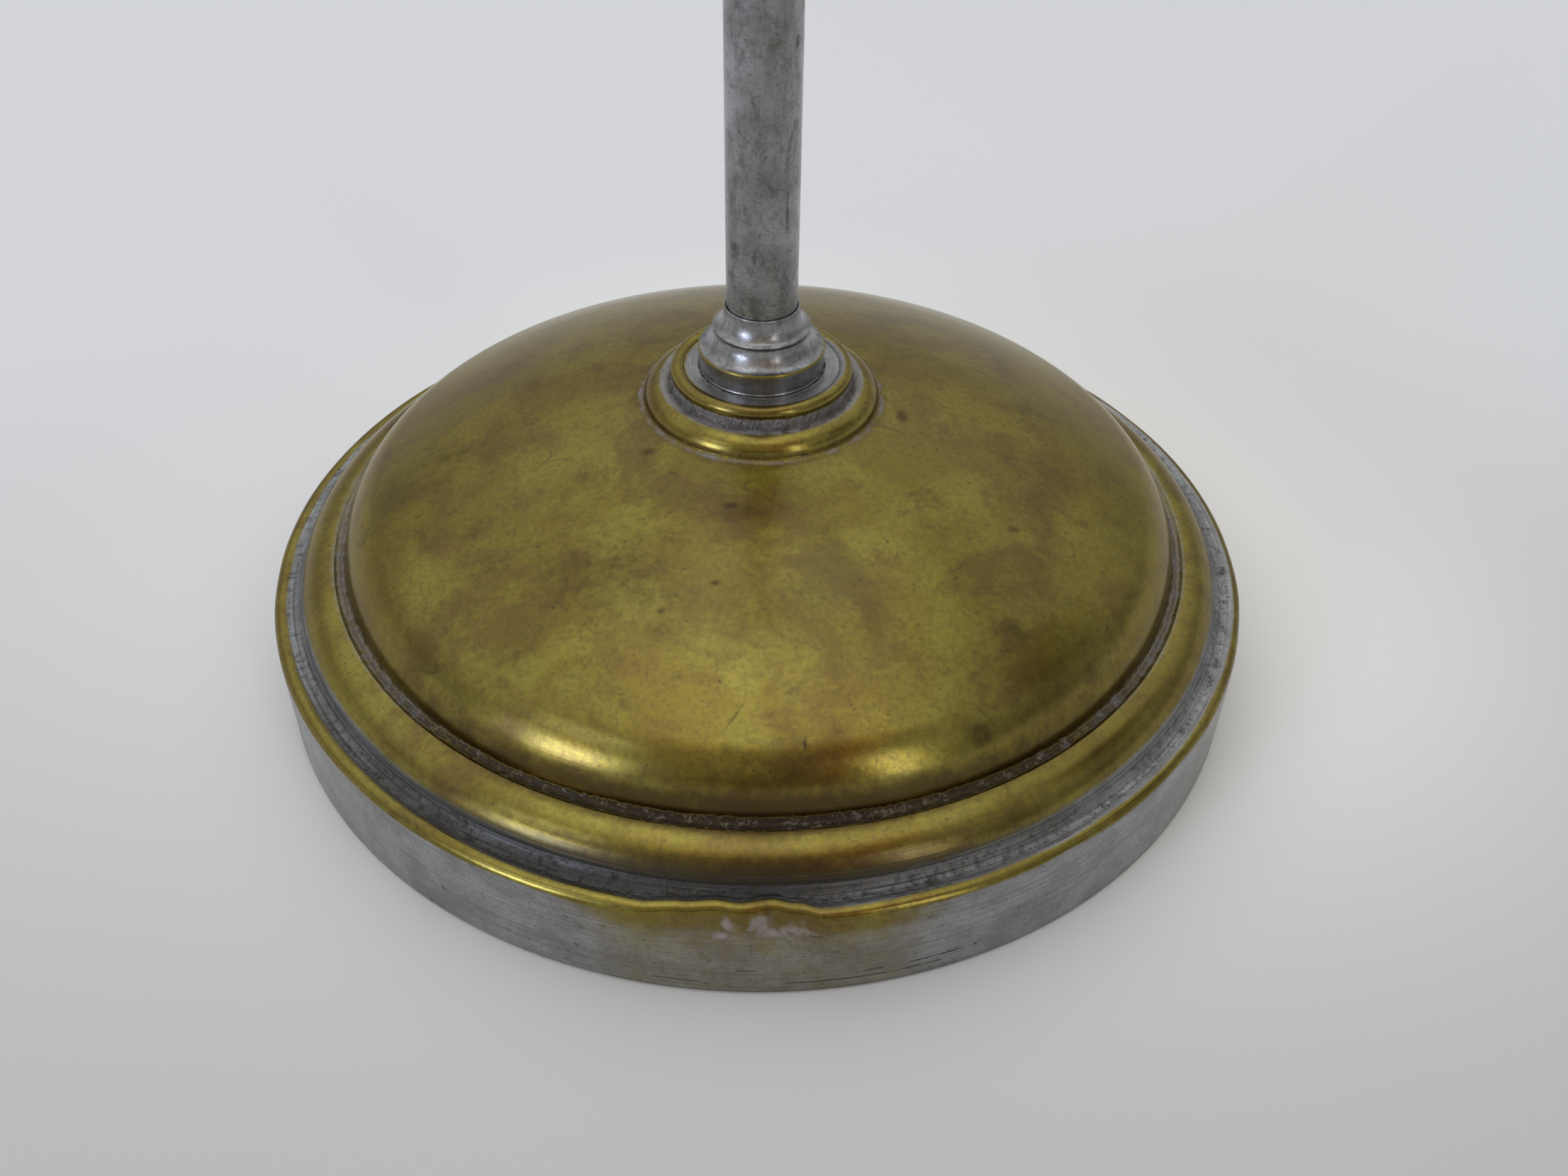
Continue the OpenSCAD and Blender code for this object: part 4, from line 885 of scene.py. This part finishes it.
def stain_and_shade_at(r, z, angle):
    """Brown tarnish on the dome, round the ridge, by the groove and low on the ring's front. Towards the
    front, by the groove and on the ring, it is also painted shade, and some blots paint a darker
    reflection.
    """
    front = frontness(angle)
    if on_rim(r):
        return 0.0
    if not on_dome(r, z):
        # Painted shade with tarnish: the ring's low face and the groove's edge darken only towards the
        # front.
        low_face_shade = 0.75 * front * ring_foot(r, z, 46, 64)
        return front * max(low_face_shade, 0.8 * in_groove(r, z, 0.8, 3.6))
    # Painted shade with tarnish: at the front the dark reaches far up the shoulder, over the floor's
    # reflection.
    groove = front * in_groove(r, z, 2.0, 7.5)
    halo = 0.55 * (1 - smooth_step(0.3, 2.6, r - RIDGE_END)) if r > RIDGE_END - 0.2 else 0.0
    x, y = plan(r, angle)
    blots = [k * spot((x - u) / w, (y - v) / d) for u, v, w, d, k in STAINS_AND_PAINTED_REFLECTION]
    return max(halo, groove, *blots)


def base_plate(r, z, angle):
    """How much nickel is left: rim's side, cove, ring's foot, groove, recess and seat."""
    flank = abs(math.cos(angle))
    if r < RIDGE_END:
        seat_end = BEAD_AT - BEAD_R + 1.2 * max(0.0, math.cos(angle + 0.35))
        seat = 1 - smooth_step(seat_end - 0.5, seat_end + 0.3, r)
        return max(seat, 0.75 * recess_at(r, z))
    if not on_rim(r):
        left_on = 0.45 * smooth_step(0.3, 0.9, flank)
        groove = left_on * in_groove(r, z, 0.5 + 0.6 * flank, 1.2 + 1.2 * flank)
        return max(groove, ring_foot(r, z, 6 + 16 * flank, 30 + 10 * flank))
    s = rim_distance(angle)
    front = 1 - smooth_step(14, 32, abs(s))
    wander = 0.25 * noise.noise(Vector((s * 0.11, 2.3, 0.0)))
    line_in = BASE_R - 1.6 + 0.4 * math.cos(angle) + wander
    cove = in_cove(r, z, line_in - 0.35, line_in + 0.35)
    line_low = RIM_H - 1.0 + 0.3 * math.cos(angle) + wander
    side = 1 - smooth_step(line_low - 0.3, line_low + 0.4, z)
    tint = front * (0.42 + 0.12 * smooth_step(7.0, 11.0, z) + 0.26 * smooth_step(11.4, 13.0, z))
    return max(cove, side * (1 - tint))


def base_soot_and_shade(r, z, angle):
    """A dark film in the cove and on the ring's foot, darkest left of the front, and in the groove.
    Towards the front it is painted shade as well as dirt.
    """
    if r < RIDGE_END:
        return 0.1 * recess_at(r, z)
    # Painted shade: the film grows much darker towards the front, where the hollow beside the ring lies
    # in shade.
    low = 0.14 + 0.72 * frontness(angle + 0.3)
    if on_rim(r):
        return low * in_cove(r, z, BASE_R - 2.0, BASE_R - 1.1)
    ringward = smooth_step(DOME_R, DOME_R + 1.2, r)
    groove = (0.15 + 0.2 * ringward) * in_groove(r, z, 0.5, 1.6)
    return max(groove, low * ring_foot(r, z, 14, 36 + 30 * frontness(angle, 6)))


def base_grime_and_shade(r, z, angle):
    """Crust in the groove, the recess and the cove, and round the foot of the ridge, with a painted
    shadow line round the collar's foot.
    """
    if z > CROWN_Z - 8 and r < RIDGE_END + 4:
        foot = 0.3 * window(0.0, 0.15, 0.15, r - RIDGE_END)
        # Painted shadow: a dark line round the collar's foot on the seat.
        collar_foot_shadow = 0.7 * window(9.0, 9.4, 0.3, r)
        return max(foot, collar_foot_shadow, recess_at(r, z) * (0.2 + 0.15 * window(13.2, 13.7, 0.5, r)))
    if on_rim(r):
        return 0.34 * in_cove(r, z, BASE_R - 2.2, BASE_R - 1.4)
    front = frontness(angle, 3)
    groove = (0.7 + 0.3 * front) * in_groove(r, z, 0.1 + 0.5 * front, 0.6 + 0.9 * front)
    return max(groove, 0.34 * ring_foot(r, z, 8, 30))


def base_shine(r, z, angle):
    """Hands and dusters keep the shoulder, the ring and the beads bright."""
    if on_dome(r, z) and r > RIDGE_END:
        return smooth_step(42, 56, r)
    return 1.0


def base_shift(r, z, angle):
    """How the dent, the lumps of bruises and crust, and years of handling move a point of the shell."""
    s = rim_distance(angle)
    push = dent_depth(s)
    near_edge = smooth_step(5, RIM_H - 1, z) * smooth_step(RING_END, BASE_R - 2, r)
    out = Vector((*plan(1, angle), 0))
    lump = scuff_at(r, z, angle)
    grit = noise.noise(Vector((s * 1.3, z * 1.3, 3.7)))
    hand_wear = 0.12 * noise.noise(Vector((s * 0.09, 0.0, 7.3))) * near_edge
    move = out * (-push * near_edge + hand_wear + lump * (0.2 + 0.35 * grit))
    move.z += DENT_UP * push * near_edge * smooth_step(11, RIM_H, z)
    if z > GROOVE_Z + 2 and r > RIDGE_END:
        wave = noise.noise(Vector((*plan(r, angle), 0)) * 0.05)
        move += out * 0.06 * wave
    return move


def base_shell():
    """The shell, with four steps a degree round the dent and one elsewhere."""
    half = 20
    fine = [FRONT + math.radians(i / 4) for i in range(-4 * half, 4 * half)]
    coarse = [FRONT + math.radians(half + i) for i in range(360 - 2 * half)]
    values = {
        "plate": base_plate,
        "soot_and_shade": base_soot_and_shade,
        "grime_and_shade": base_grime_and_shade,
        "shine": base_shine,
        "scuff": scuff_at,
        "mark": mark_at,
        "stain_and_shade": stain_and_shade_at,
    }
    obj = lathe("lamp_base_shell", base_outline(), fine + coarse, base_shift, values=values)
    stand_in(obj, "base_shell")


base_shell()


# Stem and collar
# Dark smears on the stem: degrees right of the front, height, half turn, half height
SMEARS = (
    (70, 101, 12, 4.0),
    (56, 96, 8, 1.6),
    (34, 93, 7, 1.0),
    (-48, 68, 22, 2.2),
    (-60, 64, 16, 1.4),
    (40, 74, 5, 6.0),
)


def stem_grime(r, z, angle):
    turn = math.degrees(math.remainder(angle - FRONT, 2 * math.pi))
    foot = 0.25 * (1 - smooth_step(58, 60, z))
    smear = max(spot((turn - a) / w, (z - h) / t) for a, h, w, t in SMEARS)
    return max(foot, 0.7 * smear)


def stem_tube():
    low, high = (c.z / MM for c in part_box("stem_tube"))
    outline = [(STEM_BORE_R, low), (STEM_R, low), (STEM_R, high), (STEM_BORE_R, high)]
    obj = lathe("lamp_stem", rounded(outline, 0.3, 1.0), 96, values={"grime_and_shade": stem_grime})
    stand_in(obj, "stem_tube")


def stem_collar():
    """Turned collar: a disc, a hollow up to a brim, and a hollow flare up to a thin lip at the stem."""
    disc_r = 9.35
    disc_foot_r = 9.05
    disc_top = SEAT_Z + 3.55
    brim_r = 7.15
    brim_z = disc_top + 2.95
    brim_h = 0.4
    lip_r = STEM_HOLE_R + 0.27
    lip_z = brim_z + brim_h + 3.1
    turns = [math.radians(84 - 78 * i / 12) for i in range(13)]

    def cavetto(out_r, in_r, low, high):
        """A hollow moulding from its wide foot up to its narrow top."""
        return [(out_r - (out_r - in_r) * math.cos(a), high - (high - low) * math.sin(a)) for a in turns]

    outline = [(STEM_HOLE_R, SEAT_Z), (disc_foot_r + 0.1, SEAT_Z), (disc_foot_r + 0.12, SEAT_Z + 0.2)]
    outline += [(disc_foot_r, SEAT_Z + 0.35), (disc_r, disc_top - 0.3), (disc_r - 0.12, disc_top)]
    outline += cavetto(disc_r - 0.1, brim_r - 0.3, disc_top, brim_z)
    outline += [(brim_r - 0.1, brim_z), (brim_r, brim_z + 0.1), (brim_r, brim_z + brim_h - 0.1)]
    outline += cavetto(brim_r - 0.05, lip_r, brim_z + brim_h, lip_z)
    outline += [(lip_r, lip_z + 0.1), (STEM_HOLE_R, lip_z + 0.15)]

    def worn(r, z, angle):
        wander = 0.3 * noise.noise(Vector((*plan(4, angle), 1.7)))
        return (0.75 + wander) * window(disc_top - 0.3, disc_top, 0.15, z) if r > disc_r - 0.3 else 0.0

    # Painted shadow lines: a dark line under the brim and another at the foot, where the collar meets
    # the seat.
    def grime_and_shade(r, z, angle):
        brim_shadow_line = 0.9 * window(brim_z - 0.2, brim_z + 0.02, 0.1, z) if r < brim_r + 0.1 else 0.0
        foot = 0.8 * (1 - smooth_step(0.05, 0.45, z - SEAT_Z))
        return max(brim_shadow_line, foot)

    def shine(r, z, angle):
        return 1.0

    values = {"worn": worn, "grime_and_shade": grime_and_shade, "shine": shine}
    stand_in(lathe("lamp_collar", rounded(outline, 0.3, 0.2), 128, values=values), "stem_collar")


stem_tube()
stem_collar()


# Arm, lampholder and shade
def arm_tube():
    lower = JOINT_AT["lower_tilt"]
    upper = JOINT_AT["upper_tilt"]
    end_room = 23.0
    tube_r = 4.75
    bore_r = 3.6
    along = upper - lower
    length = along.length / MM - end_room
    outline = [(bore_r, end_room), (tube_r, end_room), (tube_r, length), (bore_r, length)]
    place = Matrix.Translation(lower) @ Vector((0, 0, 1)).rotation_difference(along).to_matrix().to_4x4()
    stand_in(lathe("lamp_arm_tube", rounded(outline, 0.25, 1.0), 96, place=place), "arm_tube")


arm_tube()

HEAD_DROP = 29.0
HEAD_TOP = Matrix.Translation(JOINT_AT["upper_tilt"] - Vector((0, 0, HEAD_DROP * MM)))


def holder_cap():
    """Spun cap: a flat top with a quarter-round shoulder over a straight skirt."""
    hole_r = 5.1
    top_r = 9.0
    skirt_r = 18.88
    skirt_in_r = 18.08
    sheet = 0.8
    skirt_top = -13.0
    skirt_end = -22.0
    turns = [math.radians(6 * i) for i in range(16)]

    def shoulder(r, z):
        width = r - top_r
        height = skirt_top - z
        return [(top_r + width * math.sin(a), skirt_top - height * math.cos(a)) for a in turns]

    outline = [(skirt_in_r, skirt_end), (skirt_r, skirt_end)]
    outline += shoulder(skirt_r, 0)[::-1]
    outline += [(hole_r, 0), (hole_r, -sheet)]
    outline += shoulder(skirt_in_r, -sheet)

    def plate(r, z, angle):
        return 0.75 * window(-12.5, -4.0, 2.5, z)

    def grime_and_shade(r, z, angle):
        top = 0.8 * smooth_step(-1.2, -0.2, z) * (1 - smooth_step(8.0, 9.5, r))
        return top + 0.5 * window(skirt_end, skirt_end + 1, 0.8, z)

    values = {"plate": plate, "grime_and_shade": grime_and_shade}
    obj = lathe("lamp_holder_cap", rounded(outline, 0.25, 0.5), 128, place=HEAD_TOP, values=values)
    stand_in(obj, "holder_cap")


# Shade: fitter, dome and skirt, as heights from the lampholder's top
FITTER_R = 28.2
FITTER_LIP = 0.5
FITTER_TOP = -50.0
FITTER_END = -61.0
SHADE_TOP_R = 33.2
SHADE_C = 15.0
SHADE_ARC_R = 64.0
SHADE_ARC_Z = -128.0
SHADE_END = -140.0
SHADE_T = 0.9
SHADE_ROLL_R = 1.6
SHADE_R = SHADE_C + SHADE_ARC_R


def shade_outline():
    """From the rolled mouth up the outside to the fitter, then down the inside."""
    top_a = math.degrees(math.acos((SHADE_TOP_R - SHADE_C) / SHADE_ARC_R))
    inner_r = SHADE_ARC_R - SHADE_T
    inner_top_a = math.degrees(math.acos((SHADE_TOP_R - SHADE_T - SHADE_C) / inner_r))
    roll = (SHADE_R - SHADE_T / 2, SHADE_END)
    meet = math.degrees(math.acos(SHADE_T / 2 / SHADE_ROLL_R))
    outline = arc(roll, SHADE_ROLL_R, 180 - meet, 360 + meet, 0.3)
    outline += arc((SHADE_C, SHADE_ARC_Z), SHADE_ARC_R, 0, top_a, 0.8)
    outline += [
        (FITTER_R, FITTER_END),
        (FITTER_R, FITTER_TOP - SHADE_T),
        (FITTER_R + FITTER_LIP, FITTER_TOP - SHADE_T),
        (FITTER_R + FITTER_LIP, FITTER_TOP),
        (FITTER_R - SHADE_T, FITTER_TOP),
        (FITTER_R - SHADE_T, FITTER_END - SHADE_T),
    ]
    outline += arc((SHADE_C, SHADE_ARC_Z), inner_r, inner_top_a, 0, 0.8)
    return rounded(outline, 0.3, 0.8)


def shade():
    """The shade, brass outside and enamelled inside."""

    def plate(r, z, angle):
        edge = 0.9 * (1 - smooth_step(SHADE_END + 2, SHADE_END + 9, z))
        neck = 0.9 * smooth_step(FITTER_END - 7, FITTER_END - 2, z)
        cloud = 0.35 + 0.5 * noise.noise(Vector((*plan(r, angle), z)) * 0.03)
        return max(edge, neck, cloud * window(SHADE_ARC_Z, SHADE_ARC_Z + 20, 30, z))

    def grime_and_shade(r, z, angle):
        return 0.7 * (1 - smooth_step(0.5, 2.0, abs(z - FITTER_END)))

    values = {"plate": plate, "grime_and_shade": grime_and_shade}
    obj = lathe("lamp_shade", shade_outline(), 192, place=HEAD_TOP, values=values)
    stand_in(obj, "shade")
    obj.data.materials.append(enamel("white_enamel"))
    focus = HEAD_TOP @ (Vector((0, 0, SHADE_ARC_Z)) * MM)
    for face in obj.data.polygons:
        face.material_index = int(face.normal.dot(face.center - focus) < 0)


holder_cap()
shade()

# Outside pieces whose sharp edges are eased: node, rounding in millimetres
EASED = {
    "stem_ferrule": 0.3,
    "swivel_keeper_screw": 0.2,
    "lower_knuckle_base": 0.4,
    "lower_knuckle_arm": 0.4,
    "lower_pivot_bolt": 0.3,
    "lower_cup_washer": 0.15,
    "lower_wing_nut": 0.35,
    "upper_knuckle_arm": 0.4,
    "upper_knuckle_head": 0.4,
    "upper_pivot_bolt": 0.3,
    "upper_cup_washer": 0.15,
    "upper_wing_nut": 0.35,
    "holder_shell": 0.15,
    "shade_gallery": 0.25,
    "gallery_screws": 0.3,
    "key_bush": 0.25,
    "switch_key": 0.5,
    "cord_bush": 0.4,
}
for node, width in EASED.items():
    stand_in(eased(node, width), node)


# Stage: floor, light and camera
FLOOR_HALF = 30.0
# The front tone is painted shade: the floor darkens towards the front.
FLOOR_FRONT_SHADE = (0.565, 0.565, 0.54)
FLOOR_BACK = (0.805, 0.815, 0.83)
# The lit tone is painted light: a paler floor near the base.
FLOOR_PAINTED_LIGHT = (0.94, 0.94, 0.92)
DAYLIGHT = (0.88, 0.97, 1.28)
SOFT_WHITE = (1.0, 0.98, 0.95)
WINDOW_DISTANCE = 3.2


def floor():
    """A plain pale floor, with painted shade darkening it towards the front and painted light making it
    paler close to the base, where the base and the shade cast shadows.
    """
    corners = [(x * FLOOR_HALF, y * FLOOR_HALF, 0) for x, y in ((-1, -1), (1, -1), (1, 1), (-1, 1))]
    obj = new_piece("stage_floor", corners, [(0, 1, 2, 3)])
    g, coords = new_material("pale_floor")
    x, y = g.parts(coords)[:2]
    # Painted shade: the floor is darker towards the front.
    tone = g.mix(g.span(y, -0.16, 0.12), FLOOR_FRONT_SHADE, FLOOR_BACK)
    # Painted light: paler close to the base, most at the back and right, against the shadows of the base
    # and the shade.
    reach = g.math("SQRT", g.math("ADD", g.math("MULTIPLY", x, x), g.math("MULTIPLY", y, y)))
    near_base = g.span(reach, 0.08, 0.15, 0.85, 0.0)
    painted_light = g.chain("MULTIPLY", near_base, g.span(y, -0.1, 0.0, 0.12, 1.0), g.span(x, -0.1, 0.0, 0.35, 1.0))
    obj.data.materials.append(g.surface(Base_Color=g.mix(painted_light, tone, FLOOR_PAINTED_LIGHT), Roughness=0.9))


def area_light(name, azimuth, elevation, size, radiance, tint):
    """A soft window. azimuth is degrees to the right of the front, seen from the lamp."""
    data = bpy.data.lights.new(name, "AREA")
    data.shape = "RECTANGLE"
    data.size, data.size_y = size
    data.energy = radiance * math.pi * size[0] * size[1]
    data.color = tint
    obj = bpy.data.objects.new(name, data)
    scene.collection.objects.link(obj)
    az = math.radians(azimuth)
    el = math.radians(elevation)
    way = Vector((math.sin(az) * math.cos(el), -math.cos(az) * math.cos(el), math.sin(el)))
    obj.location = way * WINDOW_DISTANCE
    obj.rotation_euler = (-obj.location).to_track_quat("-Z", "Y").to_euler()


# The room's brightness and colours, and the heights between which its plain horizon ends
WORLD_DARK = 0.4
WORLD_PALE = 0.74
WORLD_LOW = 0.6
WORLD_HIGH = 1.2
WORLD_CEILING = 0.82
WORLD_FRONT = 1.1
WORLD_HORIZON = 0.6
HORIZON = (0.12, 0.26)
COOL = (0.97, 0.99, 1.0)
WARM = (1.0, 0.88, 0.68)
DOOR = (0.86, 0.5, 0.34)


def world():
    """A room: bright ceiling, pale left and back, darker right, and warm ahead with a door.

    It is plain and pale along the horizon.
    """
    g = Graph(bpy.data.worlds.new("studio"))
    scene.world = g.owner
    x, y, z = g.parts(g.coords("Generated"))
    above = g.span(z, *HORIZON)
    across = g.math("ADD", y, g.span(x, -1.0, 1.0, 0.4, -0.4))
    room = g.span(across, -0.7, 0.7, WORLD_DARK, WORLD_PALE)
    room = g.math("MULTIPLY", room, g.span(z, 0.25, 0.7, WORLD_LOW, WORLD_HIGH))
    room = g.math("ADD", room, g.span(z, 0.84, 1.0, 0.0, WORLD_CEILING))
    ahead = g.chain(
        "MULTIPLY",
        g.span(x, -0.5, -0.2),
        g.span(x, 0.34, 0.44, 1.0, 0.0),
        g.span(y, -0.2, -0.05, 1.0, 0.0),
        g.span(z, 0.9, 0.96, 1.0, 0.0),
        above,
    )
    room = g.chain("MULTIPLY", room, g.span(ahead, 0.0, 1.0, 1.0, WORLD_FRONT), above)
    room = g.math("ADD", room, g.span(z, *HORIZON, WORLD_HORIZON, 0.0))
    door = g.chain("MULTIPLY", g.span(x, 0.18, 0.24), g.span(x, 0.34, 0.38, 1.0, 0.0), ahead)
    background = g.node("ShaderNodeBackground")
    g.put(background.inputs["Strength"], room)
    g.put(background.inputs["Color"], g.mix(door, g.mix(ahead, COOL, WARM), DOOR))
    output = g.node("ShaderNodeOutputWorld")
    g.put(output.inputs["Surface"], background.outputs[0])


# Camera of the photograph: it looks down at the base's centre and is then turned a little
CAMERA_DISTANCE = 3.2457 * BASE_R
CAMERA_ELEVATION = 41.006
CAMERA_YAW = -0.939
CAMERA_PITCH = 0.7905
CAMERA_ROLL = -0.373
PICTURE_W = 2212
PICTURE_FOCUS = 2060.3
SENSOR_W = 36.0


def turned(a, b, degrees):
    """Two directions at right angles, turned in their own plane, a towards b."""
    turn = math.radians(degrees)
    return (a * math.cos(turn) + b * math.sin(turn), b * math.cos(turn) - a * math.sin(turn))


def camera():
    data = bpy.data.cameras.new("photo_camera")
    data.sensor_fit = "HORIZONTAL"
    data.sensor_width = SENSOR_W
    data.lens = SENSOR_W * PICTURE_FOCUS / PICTURE_W
    data.clip_start = 0.01
    obj = bpy.data.objects.new("photo_camera", data)
    scene.collection.objects.link(obj)
    tilt = math.radians(CAMERA_ELEVATION)
    ahead = Vector((0, math.cos(tilt), -math.sin(tilt)))
    place = -ahead * CAMERA_DISTANCE * MM
    right = Vector((1, 0, 0))
    up = right.cross(ahead)
    right, ahead = turned(right, ahead, CAMERA_YAW)
    ahead, up = turned(ahead, up, CAMERA_PITCH)
    up, right = turned(up, right, CAMERA_ROLL)
    turn = Matrix((right, up, -ahead)).transposed()
    obj.matrix_world = Matrix.Translation(place) @ turn.to_4x4()
    scene.camera = obj


floor()
area_light("window_left", -46.5, 17, (0.8, 0.96), 5.6, DAYLIGHT)
area_light("window_left_wide", -48, 19, (1.8, 1.2), 1.1, DAYLIGHT)
area_light("window_left_top", -52, 44, (1.0, 0.9), 1.1, DAYLIGHT)
area_light("window_right", 34, 26, (0.4, 1.7), 3.2, SOFT_WHITE)
world()
camera()
scene.view_settings.view_transform = "Standard"
